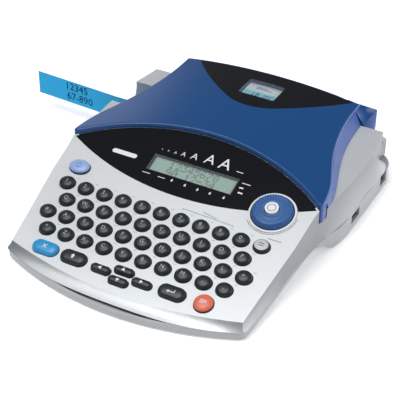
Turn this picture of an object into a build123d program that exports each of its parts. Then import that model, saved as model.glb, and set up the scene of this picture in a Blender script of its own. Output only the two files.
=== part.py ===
"""Desktop label printer with a keyboard, a hinged tape compartment lid and a label coming out at the left.

Millimetres, +X to the right, +Y to the rear, +Z up. The origin is on the desk under the middle of the body.
The keyboard face slopes, and everything on it is drawn on face_plane: u to the right, v up the slope.
"""

import os
from math import atan, cos, pi, radians, sin, sqrt, tan

from build123d import *

os.makedirs("parts", exist_ok=True)

# Slope of the keyboard face, and the line of the first key row, which is the face's own zero line
FACE_TILT = 18.0
FACE_Y = -44.8
FACE_Z = 28.0

# Body outline seen from above, at the widest line of the walls
FRONT_Y = -117.3
FRONT_CORNER_X = 84.5
FRONT_CORNER_Y = -98.0
SIDE_X = 97.6
SIDE_STRAIGHT_Y = 30.0
FLARE_X = 88.5
FLARE_Y = -20.0
REAR_Y = 112.0
FLARE_BULGE = 0.5
FRONT_CORNER_RADIUS = 6.0
REAR_CORNER_RADIUS = 20.0

# Top edge of the walls: the arc at the front of the face, and the half width beside it and at the lid's cheeks
FACE_EDGE_FRONT_Y = -105.5
FACE_EDGE_CORNER_X = 81.5
FACE_EDGE_CORNER_Y = -95.0
FACE_EDGE_MIDDLE_X = 90.2
FACE_EDGE_MIDDLE_Y = -12.0
FACE_EDGE_REAR_X = 93.1
FRONT_COVE = 1.2
FRONT_WALL_END_Y = -60.0
CHEEK_Z = 36.4
CHEEK_START_Y = -4.0
COVE_DEPTH = 0.28
SECTION_MARGIN = 6.0

# Joint line between the two casing halves: it rises from the front to a crest, then falls to the rear
PARTING_FRONT_Z = 5.0
PARTING_CREST_Y = 46.0
PARTING_CREST_Z = 16.2
PARTING_REAR_Z = 13.0
PARTING_GAP = 0.3

# Walls and general clearances
WALL = 2.0
FIT_GAP = 0.3
SIDE_GAP = 0.4
SEAT_GAP = 0.1
RUN_GAP = 0.06
BODY_TOP = 70.0
OUTSIDE = 160.0

# Base casing
FOOT_HEIGHT = 1.2
BASE_INSET = 0.8
ARCH_FRONT_Y = -97.0
ARCH_CREST_Y = -15.0
ARCH_CREST_Z = 10.3
ARCH_REAR_Y = 15.0
ARCH_DEPTH = 12.0
ARCH_FLAT = 4.0
FOOT_RADIUS = 6.0
FOOT_X = 70.0
FOOT_FRONT_Y = -78.0
FOOT_REAR_Y = 84.0

# Lid
LID_FRONT_Y = 20.4
LID_CORNER_X = 91.5
LID_CORNER_Y = -9.8
LID_REAR_X = 67.6
LID_REAR_Y = 110.0
LID_STRAIGHT_Y = 100.0
LID_WAIST_X = 83.6
LID_WAIST_Y = 25.0
LID_TOP = 52.2
LID_CROWN_RADIUS = 450.0
LID_WALL = 2.2
LID_SKIRT_Z = 30.0
LID_SKIRT_END_Y = 27.0
LID_REAR_EDGE_Z = 30.0
LID_LIP = 4.0
LID_SHOULDER = 1.8
LID_CORNER_RADIUS = 2.4
DECK_Z = 29.6
LEDGE_Y = 100.0
LEDGE_Z = 26.0

# Wing of the lid behind the right cheek: the place of its front, and its outer edge there and at the rear
WING_FRONT_Y = 101.0
WING_X = 79.5
WING_FRONT_TOP_X = 74.0
WING_FRONT_TOP_Z = 37.0
WING_REAR_TOP_Z = 46.0
WING_ROOT_X = 66.5
WING_ROOT_Z = 46.6
# Bevel that spreads from the lid's sides over the cheeks: place along the side and its width there
BEVEL_STATIONS = ((LEDGE_Y, 4.6), (76.0, 4.6), (52.0, 4.4), (28.0, 3.6), (0.0, 1.2))
BEVEL_ROOT = 1.0

# Lid hinge
HINGE_Y = 107.0
HINGE_Z = 31.0
HINGE_PIN_RADIUS = 1.25
HINGE_BOSS_RADIUS = 3.0
HINGE_LUG_X = 54.0
HINGE_LUG_WIDTH = 6.0
HINGE_KNUCKLE_WIDTH = 5.0
KNUCKLE_RISE = 10.5

# Black inlay and window in the lid
INLAY_APEX_X = 3.2
INLAY_APEX_Y = 63.0
INLAY_APEX_WIDTH = 36.0
INLAY_APEX_DEPTH = 5.5
INLAY_WIDTH = 119.0
INLAY_THICKNESS = 0.8
WINDOW_X = 3.0
WINDOW_Y = 86.5
WINDOW_WIDTH = 27.0
WINDOW_DEPTH = 20.0

# Keys
KEY_PITCH = 14.0
ROW_PITCH = 12.26
ROW_START_U = -71.7
KEY_WIDTH = 10.9
KEY_DEPTH = 9.8
KEY_RISE = 3.2
KEY_EDGE = 1.5
KEY_GAP = 0.35
KEY_FLANGE = 0.8
KEY_FLANGE_THICKNESS = 0.8
KEY_TRAVEL = 1.2
KEY_PLUNGER_RADIUS = 1.9
PILL_RATIO = 1.5
OVAL_DEPTH = 9.6
OVAL_WIDTH = 18.2
ARROW_WIDTH = 13.7
ARROW_DEPTH = 5.6
BOTTOM_ROW_V = -50.4
CANCEL_KEY_U = -57.4
SHIFT_KEY_U = -36.5
RETURN_KEY_U = 33.0
PRINT_KEY_U = 54.2
PRINT_KEY_V = -50.0
POWER_KEY_U = -70.8
POWER_KEY_V = 14.4
ARROW_CENTRE_U = -1.7
ARROW_CENTRE_V = -51.6
ARROW_SPREAD_U = 14.5
ARROW_SPREAD_V = 4.0
POWER_KEY_WIDTH = 14.7
POWER_KEY_DEPTH = 11.2
PRINT_KEY_WIDTH = 12.4

# Display panel and liquid crystal module
PANEL_CORNER_U = 88.0
PANEL_CORNER_V = 37.5
PANEL_LOW_V = 16.0
PANEL_LID_GAP = 1.0
PANEL_THICKNESS = 1.2
LCD_U = 1.6
LCD_V = 36.2
LCD_WIDTH = 61.9
LCD_HEIGHT = 13.6
LCD_BORDER = 3.0
LENS_LEDGE = 0.8

# Selector dial
DIAL_U = 63.4
DIAL_V = 25.9
DIAL_RING_RADIUS = 15.3
DIAL_HOLE_RADIUS = 14.0
DIAL_RADIUS = 13.5
DIAL_RISE = 4.4
DIAL_RIBS = 28
DIAL_RIB_RADIUS = 0.55
DIAL_BUTTON_RADIUS = 4.4
DIAL_BUTTON_RISE = 1.4
ENCODER_RADIUS = 6.0
ENCODER_POST_RADIUS = 3.0
ENCODER_HEIGHT = 1.6
ENCODER_POST_HEIGHT = 3.4
DIAL_EDGE = 1.6
DIAL_RING_RISE = 0.9
DIAL_BUTTON_SEAT = 3.4

# Keyboard circuit board under the face
BOARD_HALF_WIDTH = 77.0
BOARD_FRONT_V = -58.6
BOARD_REAR_V = 35.0
BOARD_THICKNESS = 1.2
MAT_THICKNESS = 0.8
MAT_REAR_V = 19.5

# Batteries: two columns of four cells under a door in the base
CELL_RADIUS = 7.1
CELL_LENGTH = 50.0
CELL_ROWS = 4
CELL_PITCH = 14.6
BATTERY_BAY_X = 54.5
BATTERY_BAY_Y = 4.0
DOOR_THICKNESS = 1.6
DOOR_HINGE_GAP = 2.0
CELL_GAP = 0.6
CONTACT_THICKNESS = 0.5

# Tape cassette and the bay that holds it
TAPE_WIDTH = 18.0
TAPE_THICKNESS = 0.3
TAPE_Y = 59.4
TAPE_Z = 22.0
TAPE_END_X = -168.4
TAPE_TURN = 3.0
CASSETTE_WIDTH = 79.0
CASSETTE_DEPTH = 44.5
CASSETTE_HEIGHT = 21.0
CASSETTE_X = -1.0
CASSETTE_FRONT_Y = 60.6
CASSETTE_BASE_Z = 11.8
CASSETTE_SHELL = 1.2
BAY_FLOOR = 1.6
BAY_WALL = 1.6
POCKET_WIDTH = 20.0
POCKET_FRONT_Y = 48.6
EXIT_X = -72.0
EXIT_FRONT_Y = 46.0
EXIT_REAR_Y = 77.0
EXIT_MARGIN = 1.0
EXIT_SLOT = 1.8
EXIT_DECK_DEPTH = 10.0
CASSETTE_LABEL_WIDTH = 28.8
CASSETTE_LABEL_DEPTH = 15.2
CASSETTE_LABEL_Y = 93.6
CASSETTE_LABEL_THICKNESS = 0.3

# Printing parts around the tape
HEAD_X = -32.0
HEAD_WIDTH = 7.0
HEAD_THICKNESS = 1.0
HEAT_SINK_THICKNESS = 1.8
PLATEN_RADIUS = 4.0
PLATEN_SHAFT_RADIUS = 1.5
HEAD_NOTCH_WIDTH = 16.0
HEAD_NOTCH_DEPTH = 8.0
GEAR_MODULE = 0.6
GEAR_WIDTH = 2.5
PLATEN_TEETH = 16
IDLER_TEETH = 30
PINION_TEETH = 10
GEAR_SHAFT_RADIUS = 1.0
MOTOR_RADIUS = 6.4
MOTOR_LENGTH = 14.0
GEAR_BASE_Z = 5.0
GEAR_BACKLASH = 0.12
GEAR_ROOT = 1.25
GEAR_TIP = 0.9
TOOTH_ROOT_SHARE = 1.45
TOOTH_TIP_SHARE = 0.45
PLATE_THICKNESS = 1.0
IDLER_ANGLE = -40.0
PINION_ANGLE = 0.0
CUTTER_X = -58.0
BLADE_THICKNESS = 0.6
BLADE_BEVEL = 0.36
BLADE_GAP = 0.1
BLADE_DEPTH = 9.0
BLADE_TRAVEL = 5.0
BLADE_RETREAT = 1.0
GUIDE_DEPTH = 13.0
ACTUATOR_WIDTH = 9.0
ACTUATOR_DEPTH = 8.0
ACTUATOR_ROD_RADIUS = 0.8
SPOOL_RADIUS = 15.5
RIBBON_RADIUS = 9.5
SPOOL_BORE = 3.0
SPOOL_X = 20.0
RIBBON_X = 16.0

# Main circuit board: centre x, centre y, width, depth and height of each larger component
MAIN_BOARD_X = 52.0
main_board_chips = [
    (-24.0, 6.0, 18.0, 18.0, 2.0),
    (12.0, 10.0, 24.0, 12.0, 2.2),
    (38.0, -12.0, 9.0, 9.0, 6.0),
    (-40.0, -16.0, 14.0, 8.0, 3.0),
]

# Sockets in the right wall
PORT_WALL = 1.2
JACK_BORE_RADIUS = 3.0
JACK_PIN_RADIUS = 0.9
PORT_Y = 37.6
PORT_WIDTH = 13.0
PORT_HEIGHT = 6.4
JACK_Y = 86.0
JACK_WIDTH = 10.0
JACK_HEIGHT = 8.4
SOCKET_Z = 9.4
SOCKET_DEPTH = 13.0

# Fasteners
SCREW_X = 84.0
SCREW_REAR_X = 80.0
SCREW_FRONT_Y = 25.0
SCREW_REAR_Y = 96.0
SCREW_RADIUS = 1.5
SCREW_HEAD_RADIUS = 2.8
SCREW_HEAD_HEIGHT = 2.0
SCREW_LENGTH = 16.0
BOSS_RADIUS = 4.0
BOSS_SPLIT_Z = 12.0

slope = radians(FACE_TILT)
face_plane = Plane(origin=(0, FACE_Y, FACE_Z), x_dir=(1, 0, 0), z_dir=(0, -sin(slope), cos(slope)))


def box_between(low, high, mode=Mode.ADD):
    """Box between two opposite corners."""
    with Locations(tuple((a + b) / 2 for a, b in zip(low, high))):
        Box(*(b - a for a, b in zip(low, high)), mode=mode)


def tube_up(x, y, z0, z1, radius, mode=Mode.ADD):
    """Upright cylinder between two heights."""
    with Locations((x, y, (z0 + z1) / 2)):
        Cylinder(radius, z1 - z0, mode=mode)


def face_height(y, below=0.0):
    """Height of the keyboard face at y, or of a surface a given distance under it."""
    return FACE_Z + (y - FACE_Y) * tan(slope) - below / cos(slope)


def parting_height(y):
    """Height of the joint line between the two casing halves."""
    if y < PARTING_CREST_Y:
        share = (y - FRONT_Y) / (PARTING_CREST_Y - FRONT_Y)
        return PARTING_FRONT_Z + share * (PARTING_CREST_Z - PARTING_FRONT_Z)
    share = (y - PARTING_CREST_Y) / (REAR_Y - PARTING_CREST_Y)
    return PARTING_CREST_Z + share * (PARTING_REAR_Z - PARTING_CREST_Z)


def body_half_width(y):
    """Half width of the body at its widest line: straight from the front corner, then flared to the sides."""
    if y < FLARE_Y:
        return FLARE_X + (y - FLARE_Y) * (FLARE_X - FRONT_CORNER_X) / (FLARE_Y - FRONT_CORNER_Y)
    share = min(1.0, (y - FLARE_Y) / (SIDE_STRAIGHT_Y - FLARE_Y))
    return FLARE_X + share * share * (3 - 2 * share) * (SIDE_X - FLARE_X)


def edge_half_width(y):
    """Half width of the top edge of the walls."""
    if y < FACE_EDGE_MIDDLE_Y:
        share = (y - FACE_EDGE_CORNER_Y) / (FACE_EDGE_MIDDLE_Y - FACE_EDGE_CORNER_Y)
        return FACE_EDGE_CORNER_X + share * (FACE_EDGE_MIDDLE_X - FACE_EDGE_CORNER_X)
    share = min(1.0, (y - FACE_EDGE_MIDDLE_Y) / (SIDE_STRAIGHT_Y - FACE_EDGE_MIDDLE_Y))
    return FACE_EDGE_MIDDLE_X + share * (FACE_EDGE_REAR_X - FACE_EDGE_MIDDLE_X)


def body_plan(inset):
    """Outline of the body from above, drawn in by an inset."""
    with BuildSketch() as plan:
        with BuildLine():
            ThreePointArc(
                (-FRONT_CORNER_X, FRONT_CORNER_Y), (0, FRONT_Y), (FRONT_CORNER_X, FRONT_CORNER_Y)
            )
            for side in (1, -1):
                flare_slope = (FLARE_X - FRONT_CORNER_X) / (FLARE_Y - FRONT_CORNER_Y)
                flare_middle_x = (FLARE_X + SIDE_X) / 2 + FLARE_BULGE
                flare_middle = (side * flare_middle_x, (FLARE_Y + SIDE_STRAIGHT_Y) / 2)
                Line((side * FRONT_CORNER_X, FRONT_CORNER_Y), (side * FLARE_X, FLARE_Y))
                opening = TangentArc((side * FLARE_X, FLARE_Y), flare_middle, tangent=(side * flare_slope, 1))
                TangentArc(flare_middle, (side * SIDE_X, SIDE_STRAIGHT_Y), tangent=opening % 1)
                Line((side * SIDE_X, SIDE_STRAIGHT_Y), (side * SIDE_X, REAR_Y))
            Line((-SIDE_X, REAR_Y), (SIDE_X, REAR_Y))
        make_face()
        fillet(plan.vertices().group_by(Axis.Y)[0], FRONT_CORNER_RADIUS)
        fillet(plan.vertices().group_by(Axis.Y)[-1], REAR_CORNER_RADIUS)
        if inset:
            offset(amount=-inset, kind=Kind.INTERSECTION)
    return plan.sketch


def lid_plan(grow, corner_radius=0.0):
    """Outline of the lid from above, grown (or drawn in, if negative) all round, with rounded front corners."""
    with BuildSketch() as plan:
        with BuildLine():
            ThreePointArc((-LID_CORNER_X, LID_CORNER_Y), (0, LID_FRONT_Y), (LID_CORNER_X, LID_CORNER_Y))
            for side in (1, -1):
                Line((side * LID_REAR_X, LID_REAR_Y), (side * LID_REAR_X, LID_STRAIGHT_Y))
                waist = TangentArc(
                    (side * LID_REAR_X, LID_STRAIGHT_Y), (side * LID_WAIST_X, LID_WAIST_Y), tangent=(0, -1)
                )
                TangentArc(
                    (side * LID_WAIST_X, LID_WAIST_Y), (side * LID_CORNER_X, LID_CORNER_Y), tangent=waist % 1
                )
            Line((-LID_REAR_X, LID_REAR_Y), (LID_REAR_X, LID_REAR_Y))
        make_face()
        if grow:
            offset(amount=grow, kind=Kind.INTERSECTION)
        if corner_radius:
            fillet(plan.vertices().group_by(Axis.Y)[0], corner_radius)
    return plan.sketch


def lid_wall_x(y):
    """Half width of the lid's outline at a place along its side: two arcs that meet at the waist."""
    waist_step = (LID_WAIST_X - LID_REAR_X, LID_STRAIGHT_Y - LID_WAIST_Y)
    rear_radius = (waist_step[0] ** 2 + waist_step[1] ** 2) / (2 * waist_step[0])
    if y >= LID_WAIST_Y:
        return LID_REAR_X + rear_radius - sqrt(rear_radius**2 - (LID_STRAIGHT_Y - y) ** 2)
    inward = ((waist_step[0] - rear_radius) / rear_radius, -waist_step[1] / rear_radius)
    corner_step = (LID_CORNER_X - LID_WAIST_X, LID_CORNER_Y - LID_WAIST_Y)
    depth = corner_step[0] * inward[0] + corner_step[1] * inward[1]
    front_radius = (corner_step[0] ** 2 + corner_step[1] ** 2) / (2 * depth)
    centre_x = LID_WAIST_X + front_radius * inward[0]
    centre_y = LID_WAIST_Y + front_radius * inward[1]
    return centre_x + sqrt(front_radius**2 - (y - centre_y) ** 2)


def prism_across(points, half_width=OUTSIDE):
    """Solid across the whole body from a side view polygon of (y, z) points."""
    with BuildPart() as prism:
        with BuildSketch(Plane.YZ):
            with BuildLine():
                Polyline(*points, close=True)
            make_face()
        extrude(amount=half_width, both=True)
    return prism.part


below_parting = prism_across(
    [
        (-OUTSIDE, parting_height(-OUTSIDE) + PARTING_GAP),
        (PARTING_CREST_Y, PARTING_CREST_Z + PARTING_GAP),
        (OUTSIDE, parting_height(OUTSIDE) + PARTING_GAP),
        (OUTSIDE, -OUTSIDE),
        (-OUTSIDE, -OUTSIDE),
    ]
)


def front_section(plane, corner, apex):
    """Section of the casing's front, bounded by an arc, on a plane whose zero line is the face's."""
    stretch = 1 / plane.y_dir.Y
    corner_v = (corner[1] - FACE_Y) * stretch
    apex_v = (apex - FACE_Y) * stretch
    end_v = (FRONT_WALL_END_Y - FACE_Y) * stretch
    with BuildSketch(plane) as section:
        with BuildLine():
            ThreePointArc((-corner[0], corner_v), (0, apex_v), (corner[0], corner_v))
            Polyline(
                (corner[0], corner_v),
                (OUTSIDE, corner_v),
                (OUTSIDE, end_v),
                (-OUTSIDE, end_v),
                (-OUTSIDE, corner_v),
                (-corner[0], corner_v),
            )
        make_face()
    return section.sketch


def tilted_plane(z, rise):
    """Plane across the body through the face's zero line at a height, rising to the rear by a gradient."""
    tilt = atan(rise)
    return Plane(origin=(0, FACE_Y, z), x_dir=(1, 0, 0), z_dir=(0, -sin(tilt), cos(tilt)))


def front_wall(inset):
    """Block behind the hollow front wall, which sweeps out from the face's front edge to the joint line."""
    parting_rise = (PARTING_CREST_Z - PARTING_FRONT_Z) / (PARTING_CREST_Y - FRONT_Y)
    low_corner = (FRONT_CORNER_X - inset, FRONT_CORNER_Y + 2 * inset)
    low_apex = FRONT_Y + 3 * inset
    top_corner = (FACE_EDGE_CORNER_X - inset, FACE_EDGE_CORNER_Y + inset)
    top_apex = FACE_EDGE_FRONT_Y + inset
    low_z = parting_height(FACE_Y)
    top_z = face_height(FACE_Y, inset)
    middle_corner = ((low_corner[0] + top_corner[0]) / 2, (low_corner[1] + top_corner[1]) / 2)
    middle_apex = (low_apex + top_apex) / 2 + FRONT_COVE
    middle_plane = tilted_plane((low_z + top_z) / 2, (parting_rise + tan(slope)) / 2)
    sections = [
        front_section(tilted_plane(low_z, parting_rise), low_corner, low_apex),
        front_section(middle_plane, middle_corner, middle_apex),
        front_section(tilted_plane(top_z, tan(slope)), top_corner, top_apex),
    ]
    with BuildPart() as wall:
        loft(sections)
    return wall.part


def casing_form(inset):
    """Outer form of the upper casing, or of its hollow when inset by the wall."""
    stations = (
        FRONT_Y - SECTION_MARGIN,
        FACE_EDGE_FRONT_Y,
        FACE_EDGE_CORNER_Y,
        (FACE_EDGE_CORNER_Y + FLARE_Y) / 2,
        FLARE_Y,
        (FLARE_Y + SIDE_STRAIGHT_Y) / 2,
        SIDE_STRAIGHT_Y,
        (SIDE_STRAIGHT_Y + REAR_Y) / 2,
        REAR_Y + SECTION_MARGIN,
    )
    with BuildPart() as walls:
        for y in stations:
            ridge_x = body_half_width(y) - inset
            edge_x = edge_half_width(y) - inset
            ridge_z = parting_height(y)
            edge_z = max(min(face_height(y), CHEEK_Z), ridge_z + 2 * WALL)
            bend_x = edge_x + COVE_DEPTH * (ridge_x - edge_x)
            bend_z = (ridge_z + edge_z) / 2
            with BuildSketch(Plane.XZ.offset(-y)):
                with BuildLine():
                    Line((-ridge_x, 0), (ridge_x, 0))
                    for side in (1, -1):
                        Line((side * ridge_x, 0), (side * ridge_x, ridge_z))
                        ThreePointArc(
                            (side * ridge_x, ridge_z), (side * bend_x, bend_z), (side * edge_x, edge_z)
                        )
                        Line((side * edge_x, edge_z), (side * edge_x, BODY_TOP))
                    Line((-edge_x, BODY_TOP), (edge_x, BODY_TOP))
                make_face()
        loft()
    face_end = LID_FRONT_Y + 2 * LID_WALL
    roof = prism_across(
        [
            (-OUTSIDE, face_height(-OUTSIDE, inset)),
            (face_end, face_height(face_end, inset)),
            (face_end, CHEEK_Z - inset),
            (OUTSIDE, CHEEK_Z - inset),
            (OUTSIDE, OUTSIDE),
            (-OUTSIDE, OUTSIDE),
        ]
    )
    ledge = prism_across(
        [
            (LEDGE_Y - inset, LEDGE_Z - inset),
            (OUTSIDE, LEDGE_Z - inset),
            (OUTSIDE, OUTSIDE),
            (LEDGE_Y - inset, OUTSIDE),
        ]
    )
    with BuildPart() as before_front:
        box_between((-OUTSIDE, -OUTSIDE, 0), (OUTSIDE, FRONT_WALL_END_Y, BODY_TOP))
        add(front_wall(inset), mode=Mode.SUBTRACT)
        add(below_parting, mode=Mode.SUBTRACT)
    with BuildPart() as form:
        with BuildSketch():
            add(body_plan(inset))
        extrude(amount=BODY_TOP)
        add(walls.part, mode=Mode.INTERSECT)
        add(before_front.part, mode=Mode.SUBTRACT)
        add(roof, mode=Mode.SUBTRACT)
        add(ledge, mode=Mode.SUBTRACT)
        # Flat cheeks on both sides of the lid
        cheek_x = LID_WAIST_X - SIDE_GAP - inset
        for x0, x1 in ((-OUTSIDE, -cheek_x), (cheek_x, OUTSIDE)):
            cheek_corner = (x0, CHEEK_START_Y - inset, CHEEK_Z - inset)
            box_between(cheek_corner, (x1, OUTSIDE, OUTSIDE), mode=Mode.SUBTRACT)
        # Well that the lid closes
        with BuildSketch(Plane.XY.offset(DECK_Z - inset)):
            add(lid_plan(SIDE_GAP + inset))
        extrude(amount=BODY_TOP, mode=Mode.SUBTRACT)
    return form.part


# Places of the round keys: four staggered rows, the last key of the first row being the light function key
row_counts = (10, 10, 11, 10)
row_places = [
    [
        (ROW_START_U + (column + (row % 2) / 2) * KEY_PITCH, -row * ROW_PITCH)
        for column in range(count)
    ]
    for row, count in enumerate(row_counts)
]
function_place = (ROW_START_U + row_counts[0] * KEY_PITCH, 0.0)

# Single keys: name, centre u, centre v, width, depth
single_keys = [
    ("function_key", *function_place, KEY_WIDTH, KEY_DEPTH),
    ("power_key", POWER_KEY_U, POWER_KEY_V, POWER_KEY_WIDTH, POWER_KEY_DEPTH),
    ("cancel_key", CANCEL_KEY_U, BOTTOM_ROW_V, OVAL_WIDTH, OVAL_DEPTH),
    ("shift_key", SHIFT_KEY_U, BOTTOM_ROW_V, OVAL_WIDTH, OVAL_DEPTH),
    ("arrow_left_key", ARROW_CENTRE_U - ARROW_SPREAD_U, ARROW_CENTRE_V, ARROW_WIDTH, ARROW_DEPTH),
    ("arrow_up_key", ARROW_CENTRE_U, ARROW_CENTRE_V + ARROW_SPREAD_V, ARROW_WIDTH, ARROW_DEPTH),
    ("arrow_down_key", ARROW_CENTRE_U, ARROW_CENTRE_V - ARROW_SPREAD_V, ARROW_WIDTH, ARROW_DEPTH),
    ("arrow_right_key", ARROW_CENTRE_U + ARROW_SPREAD_U, ARROW_CENTRE_V, ARROW_WIDTH, ARROW_DEPTH),
    ("return_key", RETURN_KEY_U, BOTTOM_ROW_V, OVAL_WIDTH, OVAL_DEPTH),
    ("print_key", PRINT_KEY_U, PRINT_KEY_V, PRINT_KEY_WIDTH, PRINT_KEY_WIDTH),
]


def key_outline(width, depth, grow=0.0):
    """Outline of a key: an oval for nearly round keys, a pill for long ones."""
    if width < PILL_RATIO * depth:
        Ellipse(width / 2 + grow, depth / 2 + grow)
    else:
        SlotOverall(width + 2 * grow, depth + 2 * grow)


def key_cap(width, depth):
    """One key with its retaining flange and the plunger that reaches down to the rubber mat."""
    flange_top = -WALL - FIT_GAP
    plunger_end = flange_top - KEY_FLANGE_THICKNESS - FIT_GAP
    with BuildPart() as cap:
        with BuildSketch(Plane.XY.offset(flange_top)):
            key_outline(width, depth)
        extrude(amount=KEY_RISE - flange_top)
        fillet(cap.faces().sort_by(Axis.Z)[-1].edges(), KEY_EDGE)
        with BuildSketch(Plane.XY.offset(flange_top)):
            key_outline(width, depth, KEY_FLANGE)
        extrude(amount=-KEY_FLANGE_THICKNESS)
        with BuildSketch(Plane.XY.offset(flange_top - KEY_FLANGE_THICKNESS)):
            Circle(min(KEY_PLUNGER_RADIUS, depth / 2 - KEY_EDGE))
        extrude(amount=plunger_end - flange_top + KEY_FLANGE_THICKNESS)
    return cap.part


mat_top = -WALL - FIT_GAP - KEY_FLANGE_THICKNESS - FIT_GAP - KEY_TRAVEL - FIT_GAP
board_top = mat_top - MAT_THICKNESS
board_bottom = board_top - BOARD_THICKNESS

# Upper casing
panel_top_v = (LID_FRONT_Y - FACE_Y) / cos(slope) - PANEL_LID_GAP
cassette_x0 = CASSETTE_X - CASSETTE_WIDTH / 2
cassette_x1 = CASSETTE_X + CASSETTE_WIDTH / 2
cassette_y1 = CASSETTE_FRONT_Y + CASSETTE_DEPTH
platen_y = TAPE_Y - TAPE_THICKNESS / 2 - FIT_GAP - PLATEN_RADIUS
bay_top = DECK_Z - WALL
bay_bottom = CASSETTE_BASE_Z - BAY_FLOOR
exit_z0 = TAPE_Z - TAPE_WIDTH / 2 - EXIT_MARGIN
exit_z1 = TAPE_Z + TAPE_WIDTH / 2 + EXIT_MARGIN
guide_x0 = EXIT_X + WALL + FIT_GAP
guide_x1 = CUTTER_X - BLADE_THICKNESS


def display_shape(grow=0.0):
    """Eye shaped outline of the display panel on the face, kept clear of the dial ring."""
    with BuildSketch() as shape:
        with BuildLine():
            left_corner = (-PANEL_CORNER_U, PANEL_CORNER_V)
            right_corner = (PANEL_CORNER_U, PANEL_CORNER_V)
            ThreePointArc(left_corner, (0, PANEL_LOW_V), right_corner)
            ThreePointArc(right_corner, (0, panel_top_v), left_corner)
        make_face()
        if grow:
            offset(amount=grow, kind=Kind.INTERSECTION)
        with Locations((DIAL_U, DIAL_V)):
            Circle(DIAL_RING_RADIUS + FIT_GAP - grow, mode=Mode.SUBTRACT)
    return shape.sketch


screw_places = [
    (-SCREW_X, SCREW_FRONT_Y),
    (SCREW_X, SCREW_FRONT_Y),
    (-SCREW_REAR_X, SCREW_REAR_Y),
    (SCREW_REAR_X, SCREW_REAR_Y),
]

casing_outside = casing_form(0.0)
casing_hollow = casing_form(WALL)
with BuildPart() as screw_bosses:
    for x, y in screw_places:
        tube_up(x, y, BOSS_SPLIT_Z, CHEEK_Z, BOSS_RADIUS)
    add(casing_outside, mode=Mode.INTERSECT)
with BuildPart() as notch_walls:
    add(casing_outside)
    box_between(
        (-OUTSIDE, EXIT_FRONT_Y - WALL, 0),
        (EXIT_X + WALL, EXIT_REAR_Y + WALL, BODY_TOP),
        mode=Mode.INTERSECT,
    )
with BuildPart() as top_casing:
    add(casing_outside)
    add(casing_hollow, mode=Mode.SUBTRACT)
    add(screw_bosses.part)
    # Notch in the left cheek, where the label comes out
    add(notch_walls.part)
    box_between((-OUTSIDE, EXIT_FRONT_Y, 0), (EXIT_X, EXIT_REAR_Y, BODY_TOP), mode=Mode.SUBTRACT)
    box_between(
        (EXIT_X, TAPE_Y - EXIT_SLOT, exit_z0),
        (EXIT_X + WALL, TAPE_Y + EXIT_SLOT, BODY_TOP),
        mode=Mode.SUBTRACT,
    )
    add(below_parting, mode=Mode.SUBTRACT)
    for x, y in screw_places:
        tube_up(x, y, 0, BOSS_SPLIT_Z + PARTING_GAP, BOSS_RADIUS + FIT_GAP, mode=Mode.SUBTRACT)
        tube_up(x, y, 0, FOOT_HEIGHT + SCREW_LENGTH + FIT_GAP, SCREW_RADIUS, mode=Mode.SUBTRACT)
    # Lugs that carry the lid's hinge pins
    for side in (1, -1):
        with BuildSketch(Plane.YZ.offset(side * HINGE_LUG_X)):
            with Locations((HINGE_Y, HINGE_Z)):
                Circle(HINGE_BOSS_RADIUS)
            with Locations((HINGE_Y, (LEDGE_Z - WALL / 2 + HINGE_Z) / 2)):
                Rectangle(2 * HINGE_BOSS_RADIUS, HINGE_Z - LEDGE_Z + WALL / 2)
            with Locations((HINGE_Y, HINGE_Z)):
                Circle(HINGE_PIN_RADIUS + RUN_GAP, mode=Mode.SUBTRACT)
        extrude(amount=side * HINGE_LUG_WIDTH)
    # Openings in the deck for the cassette, the platen and the cutter
    deck_openings = [
        (cassette_x0 - FIT_GAP, CASSETTE_FRONT_Y - FIT_GAP, cassette_x1 + FIT_GAP, cassette_y1 + FIT_GAP),
        (HEAD_X - POCKET_WIDTH / 2, POCKET_FRONT_Y, HEAD_X + POCKET_WIDTH / 2, CASSETTE_FRONT_Y),
        (EXIT_X + WALL, EXIT_FRONT_Y, HEAD_X - POCKET_WIDTH / 2, TAPE_Y + EXIT_DECK_DEPTH),
    ]
    for x0, y0, x1, y1 in deck_openings:
        box_between((x0, y0, LEDGE_Z - 2 * WALL), (x1, y1, DECK_Z + WALL), mode=Mode.SUBTRACT)
    # Key holes
    with BuildSketch(face_plane.offset(WALL)):
        for places in row_places:
            with Locations(*places):
                key_outline(KEY_WIDTH, KEY_DEPTH, KEY_GAP)
        for name, u, v, width, depth in single_keys:
            with Locations((u, v)):
                key_outline(width, depth, KEY_GAP)
    extrude(amount=-3 * WALL, mode=Mode.SUBTRACT)
    # Room behind the front wall for the flanges of the single keys
    with BuildSketch(face_plane.offset(-WALL)):
        for name, u, v, width, depth in single_keys:
            with Locations((u, v)):
                key_outline(width, depth, KEY_FLANGE + KEY_GAP)
    extrude(amount=mat_top + WALL, mode=Mode.SUBTRACT)
    # Seat of the display panel, window of the display, seat and hole of the dial
    with BuildSketch(face_plane):
        add(display_shape(SEAT_GAP))
    extrude(amount=-PANEL_THICKNESS, mode=Mode.SUBTRACT)
    with BuildSketch(face_plane):
        with Locations((LCD_U, LCD_V)):
            Rectangle(LCD_WIDTH - 2 * LENS_LEDGE, LCD_HEIGHT - 2 * LENS_LEDGE)
    extrude(amount=-2 * WALL, mode=Mode.SUBTRACT)
    with BuildSketch(face_plane):
        with Locations((DIAL_U, DIAL_V)):
            Circle(DIAL_RING_RADIUS + SEAT_GAP)
    extrude(amount=-PANEL_THICKNESS, mode=Mode.SUBTRACT)
    with BuildSketch(face_plane.offset(WALL)):
        with Locations((DIAL_U, DIAL_V)):
            Circle(DIAL_HOLE_RADIUS)
    extrude(amount=-3 * WALL, mode=Mode.SUBTRACT)
top_casing.part.label = "top_casing"
export_step(top_casing.part, "parts/top_casing.step")

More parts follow.
